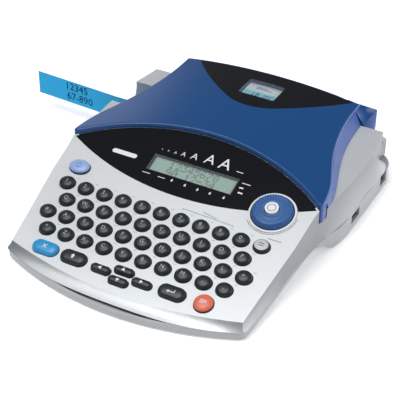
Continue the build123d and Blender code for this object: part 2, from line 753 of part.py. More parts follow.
# Display panel, its clear lens and the liquid crystal module
with BuildPart() as display_panel:
    with BuildSketch(face_plane):
        add(display_shape())
        with Locations((LCD_U, LCD_V)):
            Rectangle(LCD_WIDTH, LCD_HEIGHT, mode=Mode.SUBTRACT)
    extrude(amount=-PANEL_THICKNESS)
display_panel.part.label = "display_panel"
export_step(display_panel.part, "parts/display_panel.step")

with BuildPart() as display_lens:
    with BuildSketch(face_plane):
        with Locations((LCD_U, LCD_V)):
            Rectangle(LCD_WIDTH - SEAT_GAP, LCD_HEIGHT - SEAT_GAP)
    extrude(amount=-PANEL_THICKNESS)
display_lens.part.label = "display_lens"
export_step(display_lens.part, "parts/display_lens.step")

with BuildPart() as lcd_module:
    with BuildSketch(face_plane.offset(board_top)):
        with Locations((LCD_U, LCD_V)):
            Rectangle(LCD_WIDTH + 2 * LCD_BORDER, LCD_HEIGHT + 2 * LCD_BORDER)
    extrude(amount=-WALL - SEAT_GAP - board_top)
lcd_module.part.label = "lcd_module"
export_step(lcd_module.part, "parts/lcd_module.step")

# Keyboard circuit board and the rubber contact mat on it, both cut to the room inside the casing
with BuildPart() as board_room:
    with BuildSketch():
        add(body_plan(WALL + 2 * SIDE_GAP))
    extrude(amount=BODY_TOP)

with BuildPart() as keyboard_board:
    with BuildSketch(face_plane.offset(board_bottom)):
        with Locations((0, (BOARD_FRONT_V + BOARD_REAR_V) / 2)):
            Rectangle(2 * BOARD_HALF_WIDTH, BOARD_REAR_V - BOARD_FRONT_V)
    extrude(amount=BOARD_THICKNESS)
    add(board_room.part, mode=Mode.INTERSECT)
keyboard_board.part.label = "keyboard_board"
export_step(keyboard_board.part, "parts/keyboard_board.step")

with BuildPart() as key_mat:
    with BuildSketch(face_plane.offset(board_top)):
        with Locations((0, (BOARD_FRONT_V + MAT_REAR_V) / 2)):
            Rectangle(2 * BOARD_HALF_WIDTH, MAT_REAR_V - BOARD_FRONT_V)
    extrude(amount=MAT_THICKNESS)
    add(board_room.part, mode=Mode.INTERSECT)
key_mat.part.label = "key_mat"
export_step(key_mat.part, "parts/key_mat.step")

# Keys
round_key = key_cap(KEY_WIDTH, KEY_DEPTH)
for row, places in enumerate(row_places):
    with BuildPart(face_plane) as keys:
        with Locations(*places):
            add(round_key)
    keys.part.label = f"keys_row_{row + 1}"
    export_step(keys.part, f"parts/keys_row_{row + 1}.step")

for name, u, v, width, depth in single_keys:
    cap = key_cap(width, depth)
    with BuildPart(face_plane) as single_key:
        with Locations((u, v)):
            add(cap)
    single_key.part.label = name
    export_step(single_key.part, f"parts/{name}.step")

# Selector dial: trim ring, encoder with its post, ribbed knob and centre button
dial_plane = face_plane.offset(0)
dial_plane.origin = face_plane.from_local_coords((DIAL_U, DIAL_V, 0))
dial_axis = Axis(dial_plane.origin, dial_plane.z_dir)
knob_bottom = board_top + ENCODER_HEIGHT + FIT_GAP

with BuildPart() as dial_ring:
    with BuildSketch(dial_plane.offset(-PANEL_THICKNESS)):
        Circle(DIAL_RING_RADIUS)
        Circle(DIAL_HOLE_RADIUS, mode=Mode.SUBTRACT)
    extrude(amount=PANEL_THICKNESS + DIAL_RING_RISE)
    fillet(dial_ring.edges().group_by(SortBy.LENGTH)[-1].sort_by(Axis.Z)[-1], DIAL_RING_RISE / 2)
dial_ring.part.label = "dial_ring"
export_step(dial_ring.part, "parts/dial_ring.step")

with BuildPart() as dial_encoder:
    with BuildSketch(dial_plane.offset(board_top)):
        Circle(ENCODER_RADIUS)
    extrude(amount=ENCODER_HEIGHT)
    with BuildSketch(dial_plane.offset(board_top + ENCODER_HEIGHT)):
        Circle(ENCODER_POST_RADIUS)
    extrude(amount=ENCODER_POST_HEIGHT)
dial_encoder.part.label = "dial_encoder"
export_step(dial_encoder.part, "parts/dial_encoder.step")

with BuildPart() as dial_knob:
    with BuildSketch(dial_plane.offset(knob_bottom)):
        Circle(DIAL_RADIUS)
    extrude(amount=DIAL_RISE - knob_bottom)
    fillet(dial_knob.faces().sort_by(dial_axis)[-1].edges(), DIAL_EDGE)
    with BuildSketch(dial_plane.offset(knob_bottom)):
        with PolarLocations(DIAL_RADIUS + DIAL_RIB_RADIUS / 2, DIAL_RIBS):
            Circle(DIAL_RIB_RADIUS)
    extrude(amount=2 * DIAL_RISE - knob_bottom, mode=Mode.SUBTRACT)
    with BuildSketch(dial_plane.offset(knob_bottom)):
        Circle(ENCODER_POST_RADIUS + RUN_GAP)
    extrude(amount=2 * DIAL_RISE - knob_bottom, mode=Mode.SUBTRACT)
    with BuildSketch(dial_plane.offset(DIAL_RISE - DIAL_BUTTON_SEAT)):
        Circle(DIAL_BUTTON_RADIUS + FIT_GAP)
    extrude(amount=2 * DIAL_RISE, mode=Mode.SUBTRACT)
dial_knob.part.label = "dial_knob"
export_step(dial_knob.part, "parts/dial_knob.step")

with BuildPart() as dial_button:
    with BuildSketch(dial_plane.offset(DIAL_RISE - DIAL_BUTTON_SEAT + KEY_TRAVEL + FIT_GAP)):
        Circle(DIAL_BUTTON_RADIUS)
    extrude(amount=DIAL_BUTTON_SEAT - KEY_TRAVEL - FIT_GAP + DIAL_BUTTON_RISE)
dial_button.part.label = "dial_button"
export_step(dial_button.part, "parts/dial_button.step")

# Base casing: a tub with an arch under each side, a battery bay and openings for the sockets
def base_form(inset):
    """Outer form of the base tub, or of its hollow when inset by the wall."""
    with BuildPart() as arch:
        with BuildSketch(Plane.YZ):
            with BuildLine():
                Line((ARCH_FRONT_Y, inset), (ARCH_CREST_Y, ARCH_CREST_Z + inset))
                crest_end = (ARCH_CREST_Y + ARCH_FLAT, ARCH_CREST_Z + inset)
                Line((ARCH_CREST_Y, ARCH_CREST_Z + inset), crest_end)
                middle = ((crest_end[0] + ARCH_REAR_Y + inset) / 2, (ARCH_CREST_Z + inset) / 2)
                falling = TangentArc(crest_end, middle, tangent=(1, 0))
                landing = TangentArc(middle, (ARCH_REAR_Y + inset, 0), tangent=falling % 1)
                Line(landing @ 1, (ARCH_REAR_Y + inset, -OUTSIDE))
                Line((ARCH_REAR_Y + inset, -OUTSIDE), (ARCH_FRONT_Y, -OUTSIDE))
                Line((ARCH_FRONT_Y, -OUTSIDE), (ARCH_FRONT_Y, inset))
            make_face()
        extrude(amount=OUTSIDE, both=True)
        with BuildSketch(Plane.XY.offset(-OUTSIDE)):
            add(body_plan(ARCH_DEPTH + inset))
        extrude(amount=2 * OUTSIDE, mode=Mode.SUBTRACT)
    above_parting = prism_across(
        [
            (-OUTSIDE, parting_height(-OUTSIDE)),
            (PARTING_CREST_Y, PARTING_CREST_Z),
            (OUTSIDE, parting_height(OUTSIDE)),
            (OUTSIDE, OUTSIDE),
            (-OUTSIDE, OUTSIDE),
        ]
    )
    with BuildPart() as form:
        with BuildSketch(Plane.XY.offset(FOOT_HEIGHT + inset)):
            add(body_plan(BASE_INSET + inset))
        extrude(amount=BODY_TOP)
        add(above_parting, mode=Mode.SUBTRACT)
        add(arch.part, mode=Mode.SUBTRACT)
    return form.part


floor_z = FOOT_HEIGHT + WALL
cells_depth = CELL_ROWS * CELL_PITCH
battery_y0 = BATTERY_BAY_Y - cells_depth / 2 - FIT_GAP
battery_y1 = BATTERY_BAY_Y + cells_depth / 2 + FIT_GAP
door_top = FOOT_HEIGHT + DOOR_THICKNESS
cell_z = door_top + FIT_GAP + CELL_RADIUS
battery_roof_z = cell_z + CELL_RADIUS + FIT_GAP
port_x = SIDE_X - BASE_INSET - WALL
foot_places = [
    (-FOOT_X, FOOT_FRONT_Y),
    (FOOT_X, FOOT_FRONT_Y),
    (-FOOT_X, FOOT_REAR_Y),
    (FOOT_X, FOOT_REAR_Y),
]

with BuildPart() as base_casing:
    add(base_form(0.0))
    add(base_form(WALL), mode=Mode.SUBTRACT)
    box_between(
        (-BATTERY_BAY_X - BAY_WALL, battery_y0 - BAY_WALL, floor_z - WALL / 2),
        (BATTERY_BAY_X + BAY_WALL, battery_y1 + BAY_WALL, battery_roof_z + BAY_WALL),
    )
    box_between(
        (-BATTERY_BAY_X, battery_y0, 0),
        (BATTERY_BAY_X, battery_y1, battery_roof_z),
        mode=Mode.SUBTRACT,
    )
    box_between(
        (-BATTERY_BAY_X, battery_y0 - DOOR_HINGE_GAP, 0),
        (BATTERY_BAY_X, battery_y0, door_top + FIT_GAP),
        mode=Mode.SUBTRACT,
    )
    for x, y in screw_places:
        tube_up(x, y, floor_z - WALL / 2, BOSS_SPLIT_Z, BOSS_RADIUS)
        tube_up(x, y, 0, BOSS_SPLIT_Z, SCREW_RADIUS + FIT_GAP, mode=Mode.SUBTRACT)
        tube_up(x, y, 0, FOOT_HEIGHT + SCREW_HEAD_HEIGHT, SCREW_HEAD_RADIUS + FIT_GAP, mode=Mode.SUBTRACT)
    # Floor and side ribs of the label exit in the left wall
    box_between(
        (-SIDE_X + BASE_INSET + WALL / 2, EXIT_FRONT_Y - WALL, exit_z0 - WALL),
        (EXIT_X + WALL, EXIT_REAR_Y + WALL, exit_z0),
    )
    box_between((-OUTSIDE, EXIT_FRONT_Y, exit_z0), (EXIT_X, EXIT_REAR_Y, BODY_TOP), mode=Mode.SUBTRACT)
    # Openings for the interface port and the power jack in the right wall
    for y, width, height in ((PORT_Y, PORT_WIDTH, PORT_HEIGHT), (JACK_Y, JACK_WIDTH, JACK_HEIGHT)):
        box_between(
            (port_x - WALL, y - width / 2 - SEAT_GAP, SOCKET_Z - height / 2 - SEAT_GAP),
            (OUTSIDE, y + width / 2 + SEAT_GAP, SOCKET_Z + height / 2 + SEAT_GAP),
            mode=Mode.SUBTRACT,
        )
base_casing.part.label = "base_casing"
export_step(base_casing.part, "parts/base_casing.step")

with BuildPart() as rubber_feet:
    for x, y in foot_places:
        tube_up(x, y, 0, FOOT_HEIGHT, FOOT_RADIUS)
    chamfer(rubber_feet.edges().group_by(Axis.Z)[0], FOOT_HEIGHT / 4)
rubber_feet.part.label = "rubber_feet"
export_step(rubber_feet.part, "parts/rubber_feet.step")

with BuildPart() as casing_screws:
    for x, y in screw_places:
        tube_up(x, y, FOOT_HEIGHT, FOOT_HEIGHT + SCREW_HEAD_HEIGHT, SCREW_HEAD_RADIUS)
        tube_up(x, y, FOOT_HEIGHT + SCREW_HEAD_HEIGHT, FOOT_HEIGHT + SCREW_LENGTH, SCREW_RADIUS)
casing_screws.part.label = "casing_screws"
export_step(casing_screws.part, "parts/casing_screws.step")

with BuildPart() as battery_door:
    box_between(
        (-BATTERY_BAY_X + SIDE_GAP, battery_y0, FOOT_HEIGHT),
        (BATTERY_BAY_X - SIDE_GAP, battery_y1 - SIDE_GAP, door_top),
    )
battery_door.part.label = "battery_door"
export_step(battery_door.part, "parts/battery_door.step")

cell_x = (CELL_LENGTH + CELL_GAP) / 2
with BuildPart() as battery_cells:
    with Locations((0, BATTERY_BAY_Y, cell_z)):
        with GridLocations(2 * cell_x, CELL_PITCH, 2, CELL_ROWS):
            Cylinder(CELL_RADIUS, CELL_LENGTH, rotation=(0, 90, 0))
battery_cells.part.label = "battery_cells"
export_step(battery_cells.part, "parts/battery_cells.step")

contact_x = cell_x + CELL_LENGTH / 2 + FIT_GAP
with BuildPart() as battery_contacts:
    for side in (1, -1):
        for pair in (-1, 1):
            pair_y = BATTERY_BAY_Y + pair * CELL_PITCH
            with Locations((side * (contact_x + CONTACT_THICKNESS / 2), pair_y, cell_z)):
                Box(CONTACT_THICKNESS, 2 * CELL_PITCH - 2 * WALL, 2 * CELL_RADIUS - WALL)
            strut_x0 = min(side * contact_x, side * BATTERY_BAY_X)
            strut_x1 = max(side * contact_x, side * BATTERY_BAY_X)
            box_between((strut_x0, pair_y - WALL, cell_z - WALL), (strut_x1, pair_y + WALL, cell_z + WALL))
battery_contacts.part.label = "battery_contacts"
export_step(battery_contacts.part, "parts/battery_contacts.step")

# Main circuit board on the roof of the battery bay, with its larger components
board_z = battery_roof_z + BAY_WALL
with BuildPart() as main_board:
    box_between((-MAIN_BOARD_X, battery_y0, board_z), (MAIN_BOARD_X, battery_y1, board_z + BOARD_THICKNESS))
    for x, y, width, depth, height in main_board_chips:
        with Locations((x, BATTERY_BAY_Y + y, board_z + BOARD_THICKNESS + height / 2)):
            Box(width, depth, height)
main_board.part.label = "main_board"
export_step(main_board.part, "parts/main_board.step")

# Sockets in the right wall
with BuildPart() as interface_port:
    box_between(
        (port_x - SOCKET_DEPTH, PORT_Y - PORT_WIDTH / 2, floor_z),
        (port_x, PORT_Y + PORT_WIDTH / 2, SOCKET_Z + PORT_HEIGHT / 2 + PORT_WALL),
    )
    port_back = port_x - SOCKET_DEPTH + PORT_WALL
    port_top = SOCKET_Z + PORT_HEIGHT / 2
    box_between(
        (port_back, PORT_Y - PORT_WIDTH / 2 + PORT_WALL, SOCKET_Z - PORT_HEIGHT / 2),
        (port_x, PORT_Y + PORT_WIDTH / 2 - PORT_WALL, port_top),
        mode=Mode.SUBTRACT,
    )
    box_between(
        (port_back - PORT_WALL / 2, PORT_Y - PORT_WIDTH / 3, SOCKET_Z - PORT_WALL / 2),
        (port_x - PORT_WALL, PORT_Y + PORT_WIDTH / 3, SOCKET_Z + PORT_WALL / 2),
    )
interface_port.part.label = "interface_port"
export_step(interface_port.part, "parts/interface_port.step")

with BuildPart() as power_jack:
    box_between(
        (port_x - SOCKET_DEPTH, JACK_Y - JACK_WIDTH / 2, floor_z),
        (port_x, JACK_Y + JACK_WIDTH / 2, SOCKET_Z + JACK_HEIGHT / 2),
    )
    with BuildSketch(Plane.YZ.offset(port_x - SOCKET_DEPTH + PORT_WALL)):
        with Locations((JACK_Y, SOCKET_Z)):
            Circle(JACK_BORE_RADIUS)
            Circle(JACK_PIN_RADIUS, mode=Mode.SUBTRACT)
    extrude(amount=SOCKET_DEPTH, mode=Mode.SUBTRACT)
power_jack.part.label = "power_jack"
export_step(power_jack.part, "parts/power_jack.step")

# Lid: crowned top plate with curved sides, a front lip, corner skirts and a rear wall
crown_centre_z = LID_TOP - LID_CROWN_RADIUS


def crowned_block(plan, sink):
    """Upright block on a plan outline, cut to the lid's crown, or to a surface a little under it."""
    with BuildPart() as block:
        with BuildSketch():
            add(plan)
        extrude(amount=BODY_TOP)
        with BuildSketch(Plane.XZ):
            with Locations((0, crown_centre_z)):
                Circle(LID_CROWN_RADIUS - sink)
        extrude(amount=OUTSIDE, both=True, mode=Mode.INTERSECT)
    return block.part


def inlay_plan(grow=0.0):
    """Crescent of the black inlay at the rear of the lid."""
    rear_y = LID_REAR_Y - LID_SHOULDER - FIT_GAP
    with BuildSketch() as plan:
        with BuildLine():
            apex = ThreePointArc(
                (INLAY_APEX_X - INLAY_APEX_WIDTH / 2, INLAY_APEX_Y + INLAY_APEX_DEPTH),
                (INLAY_APEX_X, INLAY_APEX_Y),
                (INLAY_APEX_X + INLAY_APEX_WIDTH / 2, INLAY_APEX_Y + INLAY_APEX_DEPTH),
            )
            TangentArc(apex @ 1, (INLAY_APEX_X + INLAY_WIDTH / 2, rear_y), tangent=apex % 1)
            TangentArc(apex @ 0, (INLAY_APEX_X - INLAY_WIDTH / 2, rear_y), tangent=-(apex % 0))
            Line((INLAY_APEX_X + INLAY_WIDTH / 2, rear_y), (INLAY_APEX_X - INLAY_WIDTH / 2, rear_y))
        make_face()
        if grow:
            offset(amount=grow, kind=Kind.INTERSECTION)
    return plan.sketch


def window_plan(grow=0.0):
    """Window over the cassette."""
    with BuildSketch() as plan:
        with Locations((WINDOW_X, WINDOW_Y)):
            RectangleRounded(WINDOW_WIDTH + 2 * grow, WINDOW_DEPTH + 2 * grow, WALL)
    return plan.sketch


knuckle_x = HINGE_LUG_X + HINGE_LUG_WIDTH + FIT_GAP
with BuildPart() as lid_shell:
    add(crowned_block(lid_plan(0.0, LID_CORNER_RADIUS), 0.0))
    fillet(lid_shell.faces().filter_by(GeomType.CYLINDER).sort_by(Axis.Z)[-1].edges(), LID_SHOULDER)
lid_hollow = crowned_block(lid_plan(-LID_WALL), LID_WALL)
lip_rear_y = LID_FRONT_Y + 2 * LID_WALL
with BuildPart() as under_lip:
    add(
        prism_across(
            [
                (-OUTSIDE, face_height(-OUTSIDE, LID_LIP)),
                (lip_rear_y, face_height(lip_rear_y, LID_LIP)),
                (lip_rear_y, -OUTSIDE),
                (-OUTSIDE, -OUTSIDE),
            ],
            LID_WAIST_X - 2 * LID_WALL,
        )
    )
    add(crowned_block(lid_plan(SIDE_GAP), LID_WALL), mode=Mode.INTERSECT)
with BuildPart() as inlay_seat:
    add(crowned_block(inlay_plan(SEAT_GAP), -WALL))
    add(crowned_block(inlay_plan(WALL), INLAY_THICKNESS), mode=Mode.SUBTRACT)
with BuildPart() as lid_wing:
    wing_tops = (
        (WING_FRONT_Y, WING_FRONT_TOP_X, WING_FRONT_TOP_Z),
        (LID_REAR_Y, WING_X, WING_REAR_TOP_Z),
    )
    for y, top_x, top_z in wing_tops:
        with BuildSketch(Plane.XZ.offset(-y)):
            with BuildLine():
                Polyline(
                    (WING_ROOT_X, LID_REAR_EDGE_Z),
                    (WING_X, LID_REAR_EDGE_Z),
                    (top_x, top_z),
                    (WING_ROOT_X, WING_ROOT_Z),
                    close=True,
                )
            make_face()
    loft()
with BuildPart() as lid_bevels:
    for y, width in BEVEL_STATIONS:
        wall_x = lid_wall_x(y)
        shoulder_z = LID_TOP - LID_CROWN_RADIUS + sqrt(LID_CROWN_RADIUS**2 - wall_x**2) - LID_SHOULDER
        with BuildSketch(Plane.XZ.offset(-y)):
            with BuildLine():
                Polyline(
                    (wall_x - BEVEL_ROOT, CHEEK_Z + SIDE_GAP),
                    (wall_x + width, CHEEK_Z + SIDE_GAP),
                    (wall_x, shoulder_z),
                    (wall_x - BEVEL_ROOT, shoulder_z),
                    close=True,
                )
            make_face()
    loft()
    mirror(about=Plane.YZ)
with BuildPart() as lid:
    add(lid_shell.part)
    add(lid_hollow, mode=Mode.SUBTRACT)
    # Lower edge: skirts at the front corners, above the cheeks, and down at the rear
    add(
        prism_across(
            [
                (-OUTSIDE, LID_SKIRT_Z),
                (LID_SKIRT_END_Y, LID_SKIRT_Z),
                (LID_SKIRT_END_Y, CHEEK_Z + SIDE_GAP),
                (LEDGE_Y, CHEEK_Z + SIDE_GAP),
                (LEDGE_Y, LID_REAR_EDGE_Z),
                (OUTSIDE, LID_REAR_EDGE_Z),
                (OUTSIDE, -OUTSIDE),
                (-OUTSIDE, -OUTSIDE),
            ]
        ),
        mode=Mode.SUBTRACT,
    )
    # Bevels over the cheeks, and the wing behind the right one
    add(lid_bevels.part)
    add(lid_wing.part)
    # Front wall shortened to a lip
    add(under_lip.part, mode=Mode.SUBTRACT)
    # Seat of the inlay, and the window
    add(inlay_seat.part, mode=Mode.SUBTRACT)
    with BuildSketch(Plane.XY.offset(CHEEK_Z)):
        add(window_plan())
    extrude(amount=BODY_TOP, mode=Mode.SUBTRACT)
    # Hinge knuckles, and notches that clear the casing's lugs
    for side in (1, -1):
        with BuildSketch(Plane.YZ.offset(side * knuckle_x)):
            with Locations((HINGE_Y, HINGE_Z)):
                Circle(HINGE_BOSS_RADIUS)
            with BuildLine():
                Polyline(
                    (HINGE_Y - HINGE_BOSS_RADIUS, HINGE_Z),
                    (LID_REAR_Y - LID_WALL, HINGE_Z),
                    (LID_REAR_Y - LID_WALL, CHEEK_Z + KNUCKLE_RISE),
                    (HINGE_Y - HINGE_BOSS_RADIUS, CHEEK_Z + KNUCKLE_RISE),
                    close=True,
                )
            make_face()
        extrude(amount=side * HINGE_KNUCKLE_WIDTH)
        box_between(
            (
                min(side * (HINGE_LUG_X - SIDE_GAP), side * knuckle_x),
                LID_REAR_Y - LID_WALL - SIDE_GAP,
                0,
            ),
            (
                max(side * (HINGE_LUG_X - SIDE_GAP), side * knuckle_x),
                LID_REAR_Y + SIDE_GAP,
                HINGE_Z + HINGE_BOSS_RADIUS + LID_WALL,
            ),
            mode=Mode.SUBTRACT,
        )
        with BuildSketch(Plane.YZ.offset(side * HINGE_LUG_X)):
            with Locations((HINGE_Y, HINGE_Z)):
                Circle(HINGE_PIN_RADIUS)
        extrude(amount=side * 3 * HINGE_LUG_WIDTH, mode=Mode.SUBTRACT)
lid.part.label = "lid"
export_step(lid.part, "parts/lid.step")

with BuildPart() as lid_inlay:
    add(crowned_block(inlay_plan(), 0.0))
    add(crowned_block(inlay_plan(WALL), INLAY_THICKNESS), mode=Mode.SUBTRACT)
    with BuildSketch(Plane.XY.offset(CHEEK_Z)):
        add(window_plan())
    extrude(amount=BODY_TOP, mode=Mode.SUBTRACT)
lid_inlay.part.label = "lid_inlay"
export_step(lid_inlay.part, "parts/lid_inlay.step")

with BuildPart() as lid_window:
    add(crowned_block(window_plan(-SEAT_GAP), 0.0))
    add(crowned_block(window_plan(WALL), LID_WALL), mode=Mode.SUBTRACT)
lid_window.part.label = "lid_window"
export_step(lid_window.part, "parts/lid_window.step")

with BuildPart() as hinge_pins:
    for side in (1, -1):
        with BuildSketch(Plane.YZ.offset(side * HINGE_LUG_X)):
            with Locations((HINGE_Y, HINGE_Z)):
                Circle(HINGE_PIN_RADIUS)
        extrude(amount=side * (knuckle_x + HINGE_KNUCKLE_WIDTH - HINGE_LUG_X))
hinge_pins.part.label = "hinge_pins"
export_step(hinge_pins.part, "parts/hinge_pins.step")

# Cassette bay: a tray for the cassette with a pocket for the platen, hung under the deck
pocket_x0 = HEAD_X - POCKET_WIDTH / 2
pocket_x1 = HEAD_X + POCKET_WIDTH / 2


def bay_plan(grow):
    """Plan of the inside of the bay, grown by a wall."""
    with BuildSketch() as plan:
        with Locations((CASSETTE_X, CASSETTE_FRONT_Y + CASSETTE_DEPTH / 2)):
            Rectangle(CASSETTE_WIDTH + 2 * FIT_GAP + 2 * grow, CASSETTE_DEPTH + 2 * FIT_GAP + 2 * grow)
        with Locations((HEAD_X, (POCKET_FRONT_Y + CASSETTE_FRONT_Y) / 2)):
            Rectangle(POCKET_WIDTH + 2 * grow, CASSETTE_FRONT_Y - POCKET_FRONT_Y + 2 * grow)
    return plan.sketch


with BuildPart() as cassette_bay:
    with BuildSketch(Plane.XY.offset(bay_bottom)):
        add(bay_plan(BAY_WALL))
    extrude(amount=bay_top - bay_bottom)
    with BuildSketch(Plane.XY.offset(CASSETTE_BASE_Z)):
        add(bay_plan(0.0))
    extrude(amount=BODY_TOP, mode=Mode.SUBTRACT)
    box_between(
        (-OUTSIDE, LEDGE_Y - WALL - FIT_GAP, LEDGE_Z - WALL),
        (OUTSIDE, OUTSIDE, BODY_TOP),
        mode=Mode.SUBTRACT,
    )
    box_between(
        (-OUTSIDE, TAPE_Y - EXIT_SLOT, exit_z0),
        (HEAD_X, TAPE_Y + EXIT_SLOT, BODY_TOP),
        mode=Mode.SUBTRACT,
    )
    tube_up(HEAD_X, platen_y, 0, BODY_TOP, PLATEN_SHAFT_RADIUS + RUN_GAP, mode=Mode.SUBTRACT)
cassette_bay.part.label = "cassette_bay"
export_step(cassette_bay.part, "parts/cassette_bay.step")

# Tape cassette with its two spools
cassette_front_wall = HEAD_NOTCH_DEPTH + 2 * CASSETTE_SHELL
spool_y = CASSETTE_FRONT_Y + (cassette_front_wall + CASSETTE_DEPTH - CASSETTE_SHELL) / 2
spool_places = {
    "tape_spool": (CASSETTE_X + SPOOL_X, spool_y, SPOOL_RADIUS),
    "ribbon_spool": (CASSETTE_X - RIBBON_X, spool_y, RIBBON_RADIUS),
}
cassette_top = CASSETTE_BASE_Z + CASSETTE_HEIGHT
with BuildPart() as cassette_shell:
    box_between((cassette_x0, CASSETTE_FRONT_Y, CASSETTE_BASE_Z), (cassette_x1, cassette_y1, cassette_top))
    fillet(cassette_shell.edges().filter_by(Axis.Z), WALL)
    chamfer(cassette_shell.faces().sort_by(Axis.Z)[-1].edges(), CASSETTE_SHELL / 2)
    room_y0 = CASSETTE_FRONT_Y + cassette_front_wall
    box_between(
        (cassette_x0 + CASSETTE_SHELL, room_y0, CASSETTE_BASE_Z + CASSETTE_SHELL),
        (cassette_x1 - CASSETTE_SHELL, cassette_y1 - CASSETTE_SHELL, cassette_top - CASSETTE_SHELL),
        mode=Mode.SUBTRACT,
    )
    box_between(
        (HEAD_X - HEAD_NOTCH_WIDTH / 2, 0, 0),
        (HEAD_X + HEAD_NOTCH_WIDTH / 2, CASSETTE_FRONT_Y + HEAD_NOTCH_DEPTH, BODY_TOP),
        mode=Mode.SUBTRACT,
    )
    for x, y, radius in spool_places.values():
        tube_up(x, y, CASSETTE_BASE_Z + CASSETTE_SHELL / 2, cassette_top - CASSETTE_SHELL / 2, SPOOL_BORE)
cassette_shell.part.label = "cassette_shell"
export_step(cassette_shell.part, "parts/cassette_shell.step")

with BuildPart() as cassette_label:
    with BuildSketch(Plane.XY.offset(cassette_top)):
        with Locations((WINDOW_X, CASSETTE_LABEL_Y)):
            Rectangle(CASSETTE_LABEL_WIDTH, CASSETTE_LABEL_DEPTH)
    extrude(amount=CASSETTE_LABEL_THICKNESS)
cassette_label.part.label = "cassette_label"
export_step(cassette_label.part, "parts/cassette_label.step")

for name, (x, y, radius) in spool_places.items():
    with BuildPart() as spool:
        tube_up(x, y, TAPE_Z - TAPE_WIDTH / 2, TAPE_Z + TAPE_WIDTH / 2, radius)
        tube_up(x, y, 0, BODY_TOP, SPOOL_BORE + RUN_GAP, mode=Mode.SUBTRACT)
    spool.part.label = name
    export_step(spool.part, f"parts/{name}.step")

# Tape between the cassette and the cutter, and the printed label beyond it
tape_front = TAPE_Y - TAPE_THICKNESS / 2
tape_back = TAPE_Y + TAPE_THICKNESS / 2
tape_z0 = TAPE_Z - TAPE_WIDTH / 2
tape_z1 = TAPE_Z + TAPE_WIDTH / 2
blade_x = CUTTER_X + BLADE_GAP
with BuildPart() as tape_web:
    box_between(
        (blade_x + BLADE_THICKNESS + 2 * FIT_GAP, tape_front, tape_z0),
        (HEAD_X + HEAD_NOTCH_WIDTH / 2 - FIT_GAP, tape_back, tape_z1),
    )
tape_web.part.label = "tape_web"
export_step(tape_web.part, "parts/tape_web.step")

label_start_x = guide_x1
label_turn_x = -SIDE_X
label_shift = (label_turn_x - TAPE_END_X) * tan(radians(TAPE_TURN))
with BuildPart() as label_strip:
    with BuildSketch(Plane.XY.offset(tape_z0)):
        with BuildLine():
            Polyline(
                (label_start_x, tape_front),
                (label_turn_x, tape_front),
                (TAPE_END_X, tape_front + label_shift),
                (TAPE_END_X, tape_back + label_shift),
                (label_turn_x, tape_back),
                (label_start_x, tape_back),
                close=True,
            )
        make_face()
    extrude(amount=TAPE_WIDTH)
label_strip.part.label = "label_strip"
export_step(label_strip.part, "parts/label_strip.step")

# Print head on its heat sink, behind the tape
head_front = tape_back + FIT_GAP
with BuildPart() as print_head:
    box_between(
        (HEAD_X - HEAD_WIDTH / 2, head_front, CASSETTE_BASE_Z),
        (HEAD_X + HEAD_WIDTH / 2, head_front + HEAD_THICKNESS, tape_z1),
    )
print_head.part.label = "print_head"
export_step(print_head.part, "parts/print_head.step")

sink_front = head_front + HEAD_THICKNESS
with BuildPart() as head_heat_sink:
    box_between(
        (HEAD_X - HEAD_WIDTH / 2, sink_front, CASSETTE_BASE_Z),
        (HEAD_X + HEAD_WIDTH / 2, sink_front + HEAT_SINK_THICKNESS, tape_z1 + WALL),
    )
    box_between(
        (HEAD_X - HEAD_WIDTH / 2, sink_front, CASSETTE_BASE_Z),
        (HEAD_X + HEAD_WIDTH / 2, sink_front + HEAD_NOTCH_DEPTH / 2, CASSETTE_BASE_Z + HEAT_SINK_THICKNESS),
    )
head_heat_sink.part.label = "head_heat_sink"
export_step(head_heat_sink.part, "parts/head_heat_sink.step")

# Platen: rubber sleeve, steel shaft and the gear train that turns it
with BuildPart() as platen_roller:
    tube_up(HEAD_X, platen_y, tape_z0, tape_z1, PLATEN_RADIUS)
    tube_up(HEAD_X, platen_y, 0, BODY_TOP, PLATEN_SHAFT_RADIUS, mode=Mode.SUBTRACT)
platen_roller.part.label = "platen_roller"
export_step(platen_roller.part, "parts/platen_roller.step")

with BuildPart() as platen_shaft:
    tube_up(HEAD_X, platen_y, floor_z + FIT_GAP, tape_z1 + WALL, PLATEN_SHAFT_RADIUS)
platen_shaft.part.label = "platen_shaft"
export_step(platen_shaft.part, "parts/platen_shaft.step")


def gear_points(teeth, turn):
    """Corners of a gear with straight flanked teeth, turned so that a tooth or a gap faces its partner."""
    pitch_radius = GEAR_MODULE * teeth / 2
    root = pitch_radius - GEAR_ROOT * GEAR_MODULE
    tip = pitch_radius + GEAR_TIP * GEAR_MODULE
    half_tooth = pi / (2 * teeth) - GEAR_BACKLASH / pitch_radius
    corners = (
        (root, -TOOTH_ROOT_SHARE),
        (tip, -TOOTH_TIP_SHARE),
        (tip, TOOTH_TIP_SHARE),
        (root, TOOTH_ROOT_SHARE),
    )
    points = []
    for tooth in range(teeth):
        centre = radians(turn) + 2 * pi * tooth / teeth
        for radius, share in corners:
            angle = centre + share * half_tooth
            points.append((radius * cos(angle), radius * sin(angle)))
    return points


def gear_at(x, y, teeth, turn, bore):
    """Spur gear with an upright bore."""
    with BuildPart() as gear:
        with BuildSketch(Plane((x, y, GEAR_BASE_Z))):
            with BuildLine():
                Polyline(*gear_points(teeth, turn), close=True)
            make_face()
            Circle(bore, mode=Mode.SUBTRACT)
        extrude(amount=GEAR_WIDTH)
    return gear


idler_reach = GEAR_MODULE * (PLATEN_TEETH + IDLER_TEETH) / 2 + GEAR_BACKLASH
idler_x = HEAD_X + idler_reach * cos(radians(IDLER_ANGLE))
idler_y = platen_y + idler_reach * sin(radians(IDLER_ANGLE))
pinion_reach = GEAR_MODULE * (IDLER_TEETH + PINION_TEETH) / 2 + GEAR_BACKLASH
pinion_x = idler_x + pinion_reach * cos(radians(PINION_ANGLE))
pinion_y = idler_y + pinion_reach * sin(radians(PINION_ANGLE))

